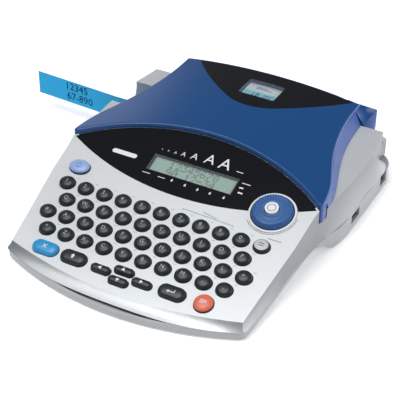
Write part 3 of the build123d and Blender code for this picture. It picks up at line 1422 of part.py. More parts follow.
# The platen gear shows a tooth to the idler, which shows a gap to it and a tooth or gap to the pinion
platen_gear = gear_at(HEAD_X, platen_y, PLATEN_TEETH, IDLER_ANGLE, PLATEN_SHAFT_RADIUS)
platen_gear.part.label = "platen_gear"
export_step(platen_gear.part, "parts/platen_gear.step")

idler_turn = IDLER_ANGLE + 180.0 + 180.0 / IDLER_TEETH
idler_gear = gear_at(idler_x, idler_y, IDLER_TEETH, idler_turn, GEAR_SHAFT_RADIUS + RUN_GAP)
idler_gear.part.label = "idler_gear"
export_step(idler_gear.part, "parts/idler_gear.step")

idler_phase = ((PINION_ANGLE - idler_turn) * IDLER_TEETH / 360.0) % 1.0
pinion_turn = PINION_ANGLE + 180.0 + (0.5 + idler_phase) * 360.0 / PINION_TEETH
motor_pinion = gear_at(pinion_x, pinion_y, PINION_TEETH, pinion_turn, GEAR_SHAFT_RADIUS)
motor_pinion.part.label = "motor_pinion"
export_step(motor_pinion.part, "parts/motor_pinion.step")

plate_top = bay_bottom
plate_bottom = plate_top - PLATE_THICKNESS
plate_y0 = battery_y1 + BAY_WALL + FIT_GAP
with BuildPart() as mechanism_plate:
    box_between((pocket_x0, plate_y0, plate_bottom), (pinion_x + MOTOR_RADIUS, CASSETTE_FRONT_Y, plate_top))
    tube_up(idler_x, idler_y, GEAR_BASE_Z, plate_top, GEAR_SHAFT_RADIUS)
    tube_up(HEAD_X, platen_y, 0, BODY_TOP, PLATEN_SHAFT_RADIUS + RUN_GAP, mode=Mode.SUBTRACT)
    tube_up(pinion_x, pinion_y, 0, BODY_TOP, GEAR_SHAFT_RADIUS + FIT_GAP, mode=Mode.SUBTRACT)
mechanism_plate.part.label = "mechanism_plate"
export_step(mechanism_plate.part, "parts/mechanism_plate.step")

with BuildPart() as feed_motor:
    tube_up(pinion_x, pinion_y, plate_top, plate_top + MOTOR_LENGTH, MOTOR_RADIUS)
    tube_up(pinion_x, pinion_y, 0, BODY_TOP, GEAR_SHAFT_RADIUS + RUN_GAP, mode=Mode.SUBTRACT)
feed_motor.part.label = "feed_motor"
export_step(feed_motor.part, "parts/feed_motor.step")

with BuildPart() as motor_shaft:
    tube_up(pinion_x, pinion_y, GEAR_BASE_Z, plate_top + MOTOR_LENGTH, GEAR_SHAFT_RADIUS)
motor_shaft.part.label = "motor_shaft"
export_step(motor_shaft.part, "parts/motor_shaft.step")

# Label exit guide with the cutter: fixed blade behind the tape, moving blade pushed by a plunger
with BuildPart() as exit_guide:
    box_between(
        (guide_x0, TAPE_Y - GUIDE_DEPTH / 2, floor_z),
        (guide_x1, TAPE_Y + GUIDE_DEPTH / 2, exit_z1),
    )
    box_between(
        (guide_x0 - WALL, TAPE_Y - EXIT_SLOT / 2, exit_z0),
        (guide_x1 + WALL, TAPE_Y + EXIT_SLOT / 2, BODY_TOP),
        mode=Mode.SUBTRACT,
    )
exit_guide.part.label = "exit_guide"
export_step(exit_guide.part, "parts/exit_guide.step")

with BuildPart() as fixed_blade:
    box_between(
        (guide_x1, tape_back + FIT_GAP, exit_z0),
        (CUTTER_X, TAPE_Y + GUIDE_DEPTH / 2, exit_z1),
    )
fixed_blade.part.label = "fixed_blade"
export_step(fixed_blade.part, "parts/fixed_blade.step")

blade_edge_y = tape_front - BLADE_RETREAT
actuator_y1 = blade_edge_y - BLADE_DEPTH - BLADE_GAP
with BuildPart() as cutter_blade:
    box_between(
        (blade_x, blade_edge_y - BLADE_DEPTH, exit_z0),
        (blade_x + BLADE_THICKNESS, blade_edge_y, exit_z1),
    )
    chamfer(cutter_blade.faces().sort_by(Axis.Y)[-1].edges().sort_by(Axis.X)[-1], BLADE_BEVEL)
    with BuildSketch(Plane.XZ.offset(-(blade_edge_y - BLADE_DEPTH))):
        with Locations((blade_x + BLADE_THICKNESS / 2, TAPE_Z)):
            Circle(ACTUATOR_ROD_RADIUS)
    extrude(amount=ACTUATOR_DEPTH)
cutter_blade.part.label = "cutter_blade"
export_step(cutter_blade.part, "parts/cutter_blade.step")

with BuildPart() as cutter_actuator:
    box_between(
        (blade_x - ACTUATOR_WIDTH / 2, actuator_y1 - ACTUATOR_DEPTH - WALL, floor_z),
        (blade_x + ACTUATOR_WIDTH / 2, actuator_y1, TAPE_Z + ACTUATOR_WIDTH / 2),
    )
    with BuildSketch(Plane.XZ.offset(-actuator_y1)):
        with Locations((blade_x + BLADE_THICKNESS / 2, TAPE_Z)):
            Circle(ACTUATOR_ROD_RADIUS + RUN_GAP)
    extrude(amount=ACTUATOR_DEPTH + WALL / 2, mode=Mode.SUBTRACT)
cutter_actuator.part.label = "cutter_actuator"
export_step(cutter_actuator.part, "parts/cutter_actuator.step")
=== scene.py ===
"""Looks of the label maker: materials, domed keys with legends, prints and small trims on its solids."""

from math import atan2, cos, hypot, pi, radians, sin, tan

import bmesh
import bpy
from mathutils import Matrix, Vector


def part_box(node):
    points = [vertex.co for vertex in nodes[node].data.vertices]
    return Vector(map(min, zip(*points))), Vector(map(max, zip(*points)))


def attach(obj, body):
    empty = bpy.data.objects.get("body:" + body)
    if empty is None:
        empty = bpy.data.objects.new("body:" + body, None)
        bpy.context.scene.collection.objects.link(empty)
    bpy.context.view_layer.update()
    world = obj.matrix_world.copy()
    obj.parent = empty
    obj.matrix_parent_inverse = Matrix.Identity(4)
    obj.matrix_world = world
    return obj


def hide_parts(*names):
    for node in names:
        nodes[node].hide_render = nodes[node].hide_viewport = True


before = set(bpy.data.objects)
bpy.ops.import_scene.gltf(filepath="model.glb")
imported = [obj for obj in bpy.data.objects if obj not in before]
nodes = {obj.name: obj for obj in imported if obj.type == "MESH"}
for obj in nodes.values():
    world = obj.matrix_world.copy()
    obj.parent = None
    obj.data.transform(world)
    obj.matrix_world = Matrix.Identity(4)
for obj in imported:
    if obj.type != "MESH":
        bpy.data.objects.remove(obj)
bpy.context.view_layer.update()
MM = 0.001

# The sloping face: a plane through the first row of keys, u to the right, v up the slope, h out of it
FACE_TILT = radians(18)
FACE_ORIGIN = Vector((0, -44.8, 28.0))
FACE_U = Vector((1, 0, 0))
FACE_V = Vector((0, cos(FACE_TILT), sin(FACE_TILT)))
FACE_N = Vector((0, -sin(FACE_TILT), cos(FACE_TILT)))

# Keys (millimetres on the face)
KEY_PITCH = 14.0
ROW_PITCH = 12.26
ROW_START_U = -71.7
ROW_COUNTS = (10, 10, 11, 10)
KEY_SIZE = (10.9, 9.8)
PILL_SIZE = (18.2, 9.6)
ARROW_SIZE = (13.7, 5.6)
PILL_RATIO = 1.5
ARROW_CENTRE = (-1.7, -51.6)
ARROW_SPREAD = (14.5, 4.0)
ARROW_MARK_SIZE = 1.5
KEY_TURNS = 48
# Profile of a key: share of the half depth that a ring is drawn in, and its height over the face
KEY_PROFILE = (
    (0.0, -1.6),
    (0.0, 0.9),
    (0.025, 1.5),
    (0.09, 2.1),
    (0.2, 2.52),
    (0.39, 2.85),
    (0.61, 3.05),
    (0.86, 3.17),
)
KEY_TOP = 3.2
PRINT_LIFT = 0.05
PRINT_STEP = 0.7

# Display and dial
LCD_CENTRE = (1.6, 36.2)
LCD_TOP = -2.1
LENS_SIZE = (61.7, 13.4)
LENS_BOTTOM = -1.2
DIAL_CENTRE = (63.4, 25.9)
DIAL_RING_RADIUS = 15.3
BUTTON_TOP = 5.8
KNOB_RIBS = 44
# Profile of the knob: radius, height over the face, and how far the ribs' grooves go in and down
KNOB_PROFILE = (
    (13.3, 0.2, 0.0, 0.0),
    (13.4, 1.0, 0.3, 0.0),
    (12.9, 2.6, 0.5, 0.1),
    (12.4, 3.6, 0.5, 0.25),
    (11.7, 4.2, 0.3, 0.35),
    (10.6, 4.38, 0.0, 0.35),
    (8.2, 4.4, 0.0, 0.25),
    (7.2, 4.4, 0.0, 0.0),
    (6.9, 4.1, 0.0, 0.0),
    (6.3, 4.05, 0.0, 0.0),
    (6.0, 4.4, 0.0, 0.0),
    (5.2, 4.4, 0.0, 0.0),
    (4.75, 4.1, 0.0, 0.0),
    (4.7, 1.5, 0.0, 0.0),
)

# Lid and label
LID_TOP = 52.2
LID_CROWN_RADIUS = 450.0
LID_FRONT_Y = 20.4
LID_CORNER = (91.5, -9.8)
WINDOW_CENTRE = (3.0, 86.5)
WINDOW_CARD_SIZE = (25.4, 18.4)
WINDOW_CARD_DROP = 2.5
LABEL_FRONT_Y = 59.25
LABEL_BEND_X = -97.6
LABEL_TURN = radians(3)


def on_face(u, v, h=0.0):
    """Point over the sloping face."""
    return (FACE_ORIGIN + u * FACE_U + v * FACE_V + h * FACE_N) * MM


def on_lid(x, y, lift=0.0):
    """Point over the lid's crown."""
    drop = LID_CROWN_RADIUS - (LID_CROWN_RADIUS**2 - x**2) ** 0.5
    return Vector((x, y, LID_TOP - drop + lift)) * MM


def on_label(x, z):
    """Point just in front of the label, which turns back a little beyond the casing."""
    back = max(0.0, LABEL_BEND_X - x) * tan(LABEL_TURN)
    return Vector((x, LABEL_FRONT_Y + back - PRINT_LIFT, z)) * MM


# Materials


def blank_material(name):
    """New material with its node tree, its shader and a rest position for procedural detail."""
    made = bpy.data.materials.new(name)
    made.use_nodes = True
    tree = made.node_tree
    coords = tree.nodes.new("ShaderNodeTexCoord")
    return made, tree, tree.nodes["Principled BSDF"], coords.outputs["Object"]


def noise(tree, place, scale, detail=3.0):
    """Fine noise over the surface; the scale is in waves per metre."""
    made = tree.nodes.new("ShaderNodeTexNoise")
    made.inputs["Scale"].default_value = scale
    made.inputs["Detail"].default_value = detail
    tree.links.new(place, made.inputs["Vector"])
    return made.outputs["Fac"]


def ramp(tree, source, stops):
    """Colours along a value: a list of (place, colour)."""
    made = tree.nodes.new("ShaderNodeValToRGB")
    band = made.color_ramp
    while len(band.elements) < len(stops):
        band.elements.new(0.5)
    for element, (place, colour) in zip(band.elements, stops):
        element.position = place
        element.color = (*colour, 1.0)
    tree.links.new(source, made.inputs["Fac"])
    return made.outputs["Color"]


def spread_of(tree, source, low, high):
    """A value spread over a range."""
    made = tree.nodes.new("ShaderNodeMapRange")
    made.inputs["To Min"].default_value = low
    made.inputs["To Max"].default_value = high
    tree.links.new(source, made.inputs["Value"])
    return made.outputs["Result"]


def bumped(tree, shader, height, strength, depth):
    """Relief on the surface."""
    made = tree.nodes.new("ShaderNodeBump")
    made.inputs["Strength"].default_value = strength
    made.inputs["Distance"].default_value = depth * MM
    tree.links.new(height, made.inputs["Height"])
    tree.links.new(made.outputs["Normal"], shader.inputs["Normal"])


def shade(colour, factor):
    """A colour made lighter or darker."""
    return tuple(min(1.0, part * factor) for part in colour)


def facing(tree, direction):
    """How much a surface faces a direction, up to 1."""
    geometry = tree.nodes.new("ShaderNodeNewGeometry")
    made = tree.nodes.new("ShaderNodeVectorMath")
    made.operation = "DOT_PRODUCT"
    made.inputs[1].default_value = direction
    tree.links.new(geometry.outputs["Normal"], made.inputs[0])
    return made.outputs["Value"]


def along_axis(tree, place, axis, start, end):
    """How far a place lies along one axis of the frame, from 0 at one place to 1 at another (millimetres)."""
    split = tree.nodes.new("ShaderNodeSeparateXYZ")
    tree.links.new(place, split.inputs["Vector"])
    made = tree.nodes.new("ShaderNodeMapRange")
    made.inputs["From Min"].default_value = start * MM
    made.inputs["From Max"].default_value = end * MM
    tree.links.new(split.outputs[axis], made.inputs["Value"])
    return made.outputs["Result"]


def colour_mix(tree, blend):
    """Node that mixes two colours."""
    made = tree.nodes.new("ShaderNodeMix")
    made.data_type = "RGBA"
    made.blend_type = blend
    return made


def plastic(
    name,
    colour,
    roughness,
    variation=0.08,
    grain=2600.0,
    relief=0.12,
    metallic=0.0,
    gloss=0.5,
    alpha=1.0,
):
    """Moulded plastic, or metal: fine grain, slow colour drift and uneven gloss."""
    made, tree, shader, place = blank_material(name)
    fine = noise(tree, place, grain)
    slow = noise(tree, place, 45.0, 2.0)
    mix = tree.nodes.new("ShaderNodeMath")
    mix.operation = "MULTIPLY_ADD"
    mix.inputs[1].default_value = 0.6
    tree.links.new(fine, mix.inputs[0])
    tree.links.new(spread_of(tree, slow, 0.0, 0.4), mix.inputs[2])
    stops = [(0.25, shade(colour, 1 - variation)), (0.75, shade(colour, 1 + variation))]
    tree.links.new(ramp(tree, mix.outputs[0], stops), shader.inputs["Base Color"])
    uneven = spread_of(tree, fine, roughness * 0.85, min(1.0, roughness * 1.15))
    tree.links.new(uneven, shader.inputs["Roughness"])
    bumped(tree, shader, fine, relief, 0.05)
    shader.inputs["Metallic"].default_value = metallic
    shader.inputs["Specular IOR Level"].default_value = gloss
    shader.inputs["Alpha"].default_value = alpha
    return made


def painted_side_sheen(made, colour):
    """Painted sheen: lets the sides of a moulding, which catch the light, take a paler colour in place of the
    reflection they show.
    """
    tree = made.node_tree
    base = tree.nodes["Principled BSDF"].inputs["Base Color"]
    sideways = tree.nodes.new("ShaderNodeMath")
    sideways.operation = "ABSOLUTE"
    tree.links.new(facing(tree, FACE_U), sideways.inputs[0])
    amount = tree.nodes.new("ShaderNodeMapRange")
    amount.inputs["From Min"].default_value, amount.inputs["From Max"].default_value = SHEEN_SIDE_RANGE
    tree.links.new(sideways.outputs[0], amount.inputs["Value"])
    mix = colour_mix(tree, "MIX")
    mix.inputs["B"].default_value = (*colour, 1.0)
    tree.links.new(amount.outputs["Result"], mix.inputs["Factor"])
    tree.links.new(base.links[0].from_socket, mix.inputs["A"])
    tree.links.new(mix.outputs["Result"], base)


def flaked(name, colour, roughness):
    """Silver paint: pale, with bright and dark metal flakes, and painted shade that makes it darker on the
    walls than on the face.
    """
    made, tree, shader, place = blank_material(name)
    flakes = noise(tree, place, 3400.0, 1.0)
    slow = noise(tree, place, 30.0, 2.0)
    stops = [(0.3, shade(colour, 0.90)), (0.5, colour), (0.72, shade(colour, 1.09))]
    # Painted shade: the walls darker than the face
    wall_shade = colour_mix(tree, "MULTIPLY")
    wall_shade.inputs["Factor"].default_value = 1.0
    tree.links.new(ramp(tree, flakes, stops), wall_shade.inputs["A"])
    tree.links.new(ramp(tree, facing(tree, FACE_N), WALL_PAINTED_SHADE), wall_shade.inputs["B"])
    # Painted shade: surfaces facing the front and left darker near the front of the casing
    front_shade = colour_mix(tree, "MULTIPLY")
    nearness = along_axis(tree, place, "Y", FRONT_FADE_END, FRONT_FADE_START)
    tree.links.new(nearness, front_shade.inputs["Factor"])
    tree.links.new(wall_shade.outputs["Result"], front_shade.inputs["A"])
    tree.links.new(ramp(tree, facing(tree, FRONT_LEFT), FRONT_PAINTED_SHADE), front_shade.inputs["B"])
    tree.links.new(front_shade.outputs["Result"], shader.inputs["Base Color"])
    tree.links.new(spread_of(tree, slow, roughness - 0.05, roughness + 0.05), shader.inputs["Roughness"])
    bumped(tree, shader, flakes, 0.10, 0.03)
    shader.inputs["Metallic"].default_value = 0.35
    shader.inputs["Coat Weight"].default_value = 0.12
    shader.inputs["Coat Roughness"].default_value = 0.25
    return made


def banded(name, axis, start, end, stops, roughness, metallic=0.0):
    """Colours in bands along one axis of the frame, from one place to another (millimetres)."""
    made, tree, shader, place = blank_material(name)
    colours = ramp(tree, along_axis(tree, place, axis, start, end), stops)
    tree.links.new(colours, shader.inputs["Base Color"])
    grain = noise(tree, place, 2200.0)
    tree.links.new(spread_of(tree, grain, roughness * 0.8, roughness * 1.2), shader.inputs["Roughness"])
    bumped(tree, shader, grain, 0.08, 0.03)
    shader.inputs["Metallic"].default_value = metallic
    return made


def rolled(name, colour, turn_size):
    """Film wound on a spool: fine rings seen as grooves around the frame's Z axis."""
    made, tree, shader, place = blank_material(name)
    rings = tree.nodes.new("ShaderNodeTexWave")
    rings.wave_type = "BANDS"
    rings.bands_direction = "Z"
    rings.inputs["Scale"].default_value = 1.0 / (turn_size * MM) / 20
    rings.inputs["Distortion"].default_value = 0.6
    tree.links.new(place, rings.inputs["Vector"])
    stops = [(0.2, shade(colour, 0.8)), (0.8, shade(colour, 1.15))]
    tree.links.new(ramp(tree, rings.outputs["Fac"], stops), shader.inputs["Base Color"])
    tree.links.new(spread_of(tree, rings.outputs["Fac"], 0.25, 0.4), shader.inputs["Roughness"])
    bumped(tree, shader, rings.outputs["Fac"], 0.2, 0.05)
    return made


SILVER = (0.60, 0.625, 0.645)
# Painted shade on the silver paint, by how much a surface faces the way the sloping face does
WALL_PAINTED_SHADE = (
    (0.05, (0.45, 0.45, 0.46)),
    (0.3, (0.72, 0.72, 0.73)),
    (0.55, (0.96, 0.96, 0.97)),
    (0.95, (1, 1, 1)),
)
# More painted shade, by how much a surface faces the front and the left, where the silver is darkest
FRONT_LEFT = Vector((-0.6, -0.8, 0))
FRONT_PAINTED_SHADE = ((0.25, (1, 1, 1)), (0.5, (0.62, 0.63, 0.64)), (0.85, (0.28, 0.29, 0.30)))
# That painted shade holds at the front of the casing and fades out towards its middle (places along Y)
FRONT_FADE_START = -60.0
FRONT_FADE_END = -20.0
GREY = (0.42, 0.437, 0.45)
LID_BLUE = (0.006, 0.058, 0.195)
# Painted sheen on the lid's sides: a lighter violet blue that stands for reflected light
LID_SHEEN_BLUE = (0.075, 0.14, 0.40)
# How far a surface faces sideways where the painted sheen starts, and where it is full
SHEEN_SIDE_RANGE = (0.3, 0.8)
KEY_DARK = (0.011, 0.017, 0.021)

silver = flaked("silver_paint", SILVER, 0.42)
grey = plastic("grey_casing", GREY, 0.45, 0.06)
lid_blue = plastic("blue_gloss", LID_BLUE, 0.3, 0.10, 2200.0, 0.05, gloss=0.32)
# Painted sheen on the sides of the lid
painted_side_sheen(lid_blue, LID_SHEEN_BLUE)
panel_black = plastic("black_gloss", (0.004, 0.0045, 0.007), 0.16, 0.2, 1800.0, 0.03, gloss=0.3)
key_dark = plastic("charcoal_keys", KEY_DARK, 0.36, 0.15, 3000.0, 0.10, gloss=0.4)
key_silver = plastic("light_key", (0.50, 0.52, 0.54), 0.4, 0.08)
key_cyan = plastic("cyan_key", (0.015, 0.27, 0.56), 0.34, 0.08)
key_pale = plastic("pale_blue_key", (0.27, 0.38, 0.66), 0.36, 0.08)
key_orange = plastic("orange_key", (0.70, 0.15, 0.085), 0.38, 0.08)
# Painted shade round the foot of the power and print keys: darker copies of their colours
power_key_foot_shade = plastic("power_key_painted_shade", (0.03, 0.045, 0.16), 0.4)
print_key_foot_shade = plastic("print_key_painted_shade", (0.10, 0.03, 0.02), 0.4)
dial_blue = plastic("dial_blue", (0.028, 0.115, 0.33), 0.36, 0.1)
white = plastic("white_trim", (0.74, 0.75, 0.77), 0.35, 0.04)
clear_lens = plastic("clear_lens", (0.60, 0.70, 0.68), 0.06, 0.03, 900.0, 0.01, alpha=0.10)
clear_window = plastic("clear_window", (0.30, 0.36, 0.40), 0.06, 0.03, 900.0, 0.01, alpha=0.14)
display_green = plastic("liquid_crystal", (0.26, 0.40, 0.34), 0.3, 0.05, 6000.0, 0.02)
display_ink = plastic("display_segments", (0.035, 0.065, 0.055), 0.4)
label_film = plastic("label_film", (0.012, 0.36, 0.70), 0.5, 0.06, 1500.0, 0.04, gloss=0.2)
label_ink = plastic("label_ink", (0.004, 0.02, 0.06), 0.6, gloss=0.05)
white_ink = plastic("white_ink", (0.72, 0.73, 0.75), 0.5, 0.05)
legend_ink = plastic("legend_ink", (0.36, 0.41, 0.41), 0.5, 0.05)
grey_ink = plastic("grey_ink", (0.17, 0.18, 0.20), 0.5, 0.05)
blue_ink = plastic("blue_ink", (0.05, 0.13, 0.34), 0.5, 0.05)
dark_ink = plastic("dark_ink", (0.02, 0.022, 0.03), 0.5, 0.05)
dark_plastic = plastic("dark_plastic", (0.035, 0.036, 0.04), 0.5, 0.15)
pale_plastic = plastic("cassette_shell", (0.55, 0.56, 0.57), 0.45, 0.06)
rubber_black = plastic("black_rubber", (0.02, 0.02, 0.021), 0.8, 0.2, 1500.0, 0.4)
rubber_grey = plastic("grey_rubber", (0.22, 0.23, 0.24), 0.75, 0.1, 1500.0, 0.3)
steel = plastic("bright_steel", (0.60, 0.60, 0.62), 0.28, 0.06, 1800.0, 0.1, metallic=1.0)
plated = plastic("plated_steel", (0.64, 0.62, 0.56), 0.36, 0.08, 1400.0, 0.12, metallic=1.0)
aluminium = plastic("aluminium", (0.72, 0.73, 0.75), 0.4, 0.06, 1600.0, 0.12, metallic=1.0)
board_green = plastic("solder_mask", (0.03, 0.17, 0.07), 0.35, 0.25, 400.0, 0.1)
acetal = plastic("acetal", (0.74, 0.72, 0.65), 0.42, 0.05)
ceramic = plastic("ceramic", (0.70, 0.68, 0.62), 0.22, 0.05)
tape_film = rolled("wound_tape", (0.08, 0.30, 0.56), 0.15)
ribbon_film = rolled("wound_ribbon", (0.016, 0.016, 0.018), 0.1)
cell_low, cell_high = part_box("battery_cells")
cell_jacket = banded(
    "cell_jacket",
    "X",
    cell_low.x / MM,
    cell_high.x / MM,
    [
        (0.0, (0.62, 0.62, 0.64)),
        (0.02, (0.03, 0.03, 0.034)),
        (0.34, (0.03, 0.03, 0.034)),
        (0.36, (0.50, 0.30, 0.10)),
        (0.48, (0.62, 0.62, 0.64)),
        (0.52, (0.03, 0.03, 0.034)),
        (0.86, (0.50, 0.30, 0.10)),
        (0.98, (0.62, 0.62, 0.64)),
    ],
    0.3,
    0.6,
)
card_front = WINDOW_CENTRE[1] - WINDOW_CARD_SIZE[1] / 2
card_print = banded(
    "window_card_print",
    "Y",
    card_front,
    card_front + WINDOW_CARD_SIZE[1],
    [
        (0.0, (0.16, 0.52, 0.62)),
        (0.46, (0.22, 0.58, 0.68)),
        (0.50, (0.62, 0.72, 0.76)),
        (0.86, (0.66, 0.68, 0.72)),
        (0.92, (0.40, 0.42, 0.46)),
    ],
    0.4,
)
cassette_low, cassette_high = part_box("cassette_label")
cassette_print = banded(
    "cassette_print",
    "Y",
    cassette_low.y / MM,
    cassette_high.y / MM,
    [(0.0, (0.16, 0.52, 0.62)), (0.5, (0.22, 0.58, 0.68)), (0.55, (0.72, 0.74, 0.76))],
    0.45,
)

NODE_MATERIALS = {
    silver: ("top_casing",),
    grey: ("base_casing", "battery_door"),
    lid_blue: ("lid",),
    panel_black: ("display_panel", "lid_inlay"),
    clear_lens: ("display_lens",),
    clear_window: ("lid_window",),
    display_green: ("lcd_module",),
    white: ("dial_ring", "dial_button"),
    dial_blue: ("dial_knob",),
    board_green: ("keyboard_board", "main_board"),
    rubber_grey: ("key_mat",),
    rubber_black: ("rubber_feet", "platen_roller"),
    steel: ("hinge_pins", "casing_screws", "platen_shaft", "motor_shaft", "fixed_blade", "cutter_blade"),
    plated: ("battery_contacts", "feed_motor", "mechanism_plate"),
    aluminium: ("head_heat_sink",),
    cell_jacket: ("battery_cells",),
    dark_plastic: (
        "interface_port",
        "power_jack",
        "cassette_bay",
        "dial_encoder",
        "exit_guide",
        "cutter_actuator",
    ),
    pale_plastic: ("cassette_shell",),
    cassette_print: ("cassette_label",),
    tape_film: ("tape_spool",),
    ribbon_film: ("ribbon_spool",),
    label_film: ("label_strip", "tape_web"),
    ceramic: ("print_head",),
    acetal: ("platen_gear", "idler_gear", "motor_pinion"),
}
for finish, names in NODE_MATERIALS.items():
    for name in names:
        nodes[name].data.materials.clear()
        nodes[name].data.materials.append(finish)


# Mesh pieces


def add_piece(name, verts, faces, materials, body, choice=None, smooth=True):
    """A mesh piece that rides on a body; choice gives each face's material."""
    mesh = bpy.data.meshes.new(name)
    mesh.from_pydata([tuple(v) for v in verts], [], [tuple(f) for f in faces])
    for finish in materials:
        mesh.materials.append(finish)
    for k, face in enumerate(mesh.polygons):
        face.use_smooth = smooth
        face.material_index = choice[k] if choice else 0
    mesh.update()
    made = bpy.data.objects.new(name, mesh)
    bpy.context.scene.collection.objects.link(made)
    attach(made, body)
    return made


def outline_point(width, depth, turn, inset):
    """Point on a key's outline, drawn in: an oval for nearly round keys, a pill for long ones."""
    if width < PILL_RATIO * depth:
        return (width / 2 - inset) * cos(turn), (depth / 2 - inset) * sin(turn)
    reach = (width - depth) / 2
    radius = depth / 2 - inset
    return (reach if cos(turn) >= 0 else -reach) + radius * cos(turn), radius * sin(turn)


def dome_height(x, y, width, depth):
    """Height of a key's top over the face at a place on the key."""
    if width < PILL_RATIO * depth:
        share = 1 - hypot(x / (width / 2), y / (depth / 2))
    else:
        reach = (width - depth) / 2
        share = 1 - hypot(max(0.0, abs(x) - reach), y) / (depth / 2)
    table = [*KEY_PROFILE[1:], (1.0, KEY_TOP)]
    for (low, low_height), (high, high_height) in zip(table, table[1:]):
        if share <= high:
            return low_height + (high_height - low_height) * max(0.0, share - low) / (high - low)
    return KEY_TOP


def key_caps(name, node, places, size, finish, shade_finish=None, shaded_rings=0):
    """Domed caps of a row, or of a single key, that stand for its solid; the lowest rings may take a darker
    finish, painted shade round the key's foot.
    """
    width, depth = size
    verts, faces, choice = [], [], []
    for u, v in places:
        first = len(verts)
        for share, height in KEY_PROFILE:
            for k in range(KEY_TURNS):
                # Half a step keeps a pill's outline even on both sides
                x, y = outline_point(width, depth, 2 * pi * (k + 0.5) / KEY_TURNS, share * depth / 2)
                verts.append(on_face(u + x, v + y, height))
        for ring in range(len(KEY_PROFILE) - 1):
            for k in range(KEY_TURNS):
                low = first + ring * KEY_TURNS
                step = (k + 1) % KEY_TURNS
                faces.append((low + k, low + step, low + KEY_TURNS + step, low + KEY_TURNS + k))
                # The lowest rings take the finish of the painted shade
                choice.append(1 if ring < shaded_rings else 0)
        top = first + (len(KEY_PROFILE) - 1) * KEY_TURNS
        faces.append(range(top, top + KEY_TURNS))
        choice.append(0)
    finishes = [finish, shade_finish] if shade_finish else [finish]
    made = add_piece(name, verts, faces, finishes, node + "_body", choice)
    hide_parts(node)
    return made


# Flat shapes for prints: lists of polygons in millimetres


def word(text, size):
    """Outlines of numbers or single letters, centred."""
    curve = bpy.data.curves.new("text", "FONT")
    curve.body = text
    curve.size = size
    curve.align_x = "CENTER"
    curve.align_y = "CENTER"
    curve.resolution_u = 3
    holder = bpy.data.objects.new("text", curve)
    bpy.context.scene.collection.objects.link(holder)
    bpy.context.view_layer.update()
    mesh = bpy.data.meshes.new_from_object(holder.evaluated_get(bpy.context.evaluated_depsgraph_get()))
    bpy.data.objects.remove(holder)
    bpy.data.curves.remove(curve)
    shape = [[tuple(mesh.vertices[k].co[:2]) for k in face.vertices] for face in mesh.polygons]
    bpy.data.meshes.remove(mesh)
    return shape


def divided(shape):
    """The same flat shape in small triangles, so that it can follow a dome."""
    work = bmesh.new()
    for polygon in shape:
        work.faces.new([work.verts.new((x, y, 0)) for x, y in polygon])
    for _ in range(4):
        bmesh.ops.triangulate(work, faces=work.faces[:])
        long_edges = [edge for edge in work.edges if edge.calc_length() > PRINT_STEP]
        if not long_edges:
            break
        bmesh.ops.subdivide_edges(work, edges=long_edges, cuts=1)
    bmesh.ops.triangulate(work, faces=work.faces[:])
    small = [[tuple(vert.co[:2]) for vert in face.verts] for face in work.faces]
    work.free()
    return small


def bar(width, height, x=0.0, y=0.0):
    """Filled rectangle."""
    w, h = width / 2, height / 2
    return [[(x - w, y - h), (x + w, y - h), (x + w, y + h), (x - w, y + h)]]


def stroke(start, end, width):
    """Straight line with a width."""
    turn = atan2(end[1] - start[1], end[0] - start[0])
    dx, dy = -sin(turn) * width / 2, cos(turn) * width / 2
    return [
        [
            (start[0] + dx, start[1] + dy),
            (start[0] - dx, start[1] - dy),
            (end[0] - dx, end[1] - dy),
            (end[0] + dx, end[1] + dy),
        ]
    ]


def arc_band(radius, width, start, end, steps=40):
    """Part of a ring, between two angles in degrees."""
    shape = []
    for k in range(steps):
        angles = [radians(start + (end - start) * (k + n) / steps) for n in (0, 1)]
        inner = [((radius - width / 2) * cos(a), (radius - width / 2) * sin(a)) for a in angles]
        outer = [((radius + width / 2) * cos(a), (radius + width / 2) * sin(a)) for a in angles]
        shape.append([inner[0], outer[0], outer[1], inner[1]])
    return shape


def triangle(size, turn):
    """Triangle that points to an angle in degrees."""
    corners = [radians(turn + step) for step in (0, 125, 235)]
    return [[(size * cos(a), size * sin(a)) for a in corners]]


def place_on_face(u, v, lift=PRINT_LIFT):
    """Rule that puts a flat shape on the face."""
    return lambda x, y: on_face(u + x, v + y, lift)


def place_on_key(u, v, size):
    """Rule that lays a flat shape on a key's dome."""
    return lambda x, y: on_face(u + x, v + y, dome_height(x, y, *size) + PRINT_LIFT)


def printed(name, marks, finish, body):
    """One thin print made of flat shapes, each with the rule that places it."""
    verts, faces = [], []
    for shape, place in marks:
        for polygon in shape:
            faces.append(range(len(verts), len(verts) + len(polygon)))
            verts.extend(place(x, y) for x, y in polygon)
    return add_piece(name, verts, faces, [finish], body, smooth=False)


# Keys and their legends

LEGENDS = ("1234567890", "QWERTYUIOP", "#ASDFGHJKL+", "*ZXCVBNM,.")
LEGEND_SIZE = 3.9
CORNER_MARK = (1.5, 0.32)
CORNER_MARK_PLACE = (4.8, 5.9)
face_marks = []
for row, count in enumerate(ROW_COUNTS):
    node = f"keys_row_{row + 1}"
    shift = (row % 2) / 2
    places = [(ROW_START_U + (k + shift) * KEY_PITCH, -row * ROW_PITCH) for k in range(count)]
    key_caps(f"row_{row + 1}_caps", node, places, KEY_SIZE, key_dark)
    legends = [
        (divided(word(letter, LEGEND_SIZE)), place_on_key(u, v, KEY_SIZE))
        for letter, (u, v) in zip(LEGENDS[row], places)
    ]
    printed(f"row_{row + 1}_legends", legends, legend_ink, node + "_body")
    for u, v in places:
        mark_place = place_on_face(u + CORNER_MARK_PLACE[0], v + CORNER_MARK_PLACE[1])
        face_marks.append((bar(*CORNER_MARK), mark_place))
        face_marks.append((bar(CORNER_MARK[1], CORNER_MARK[1], CORNER_MARK[0], 0), mark_place))
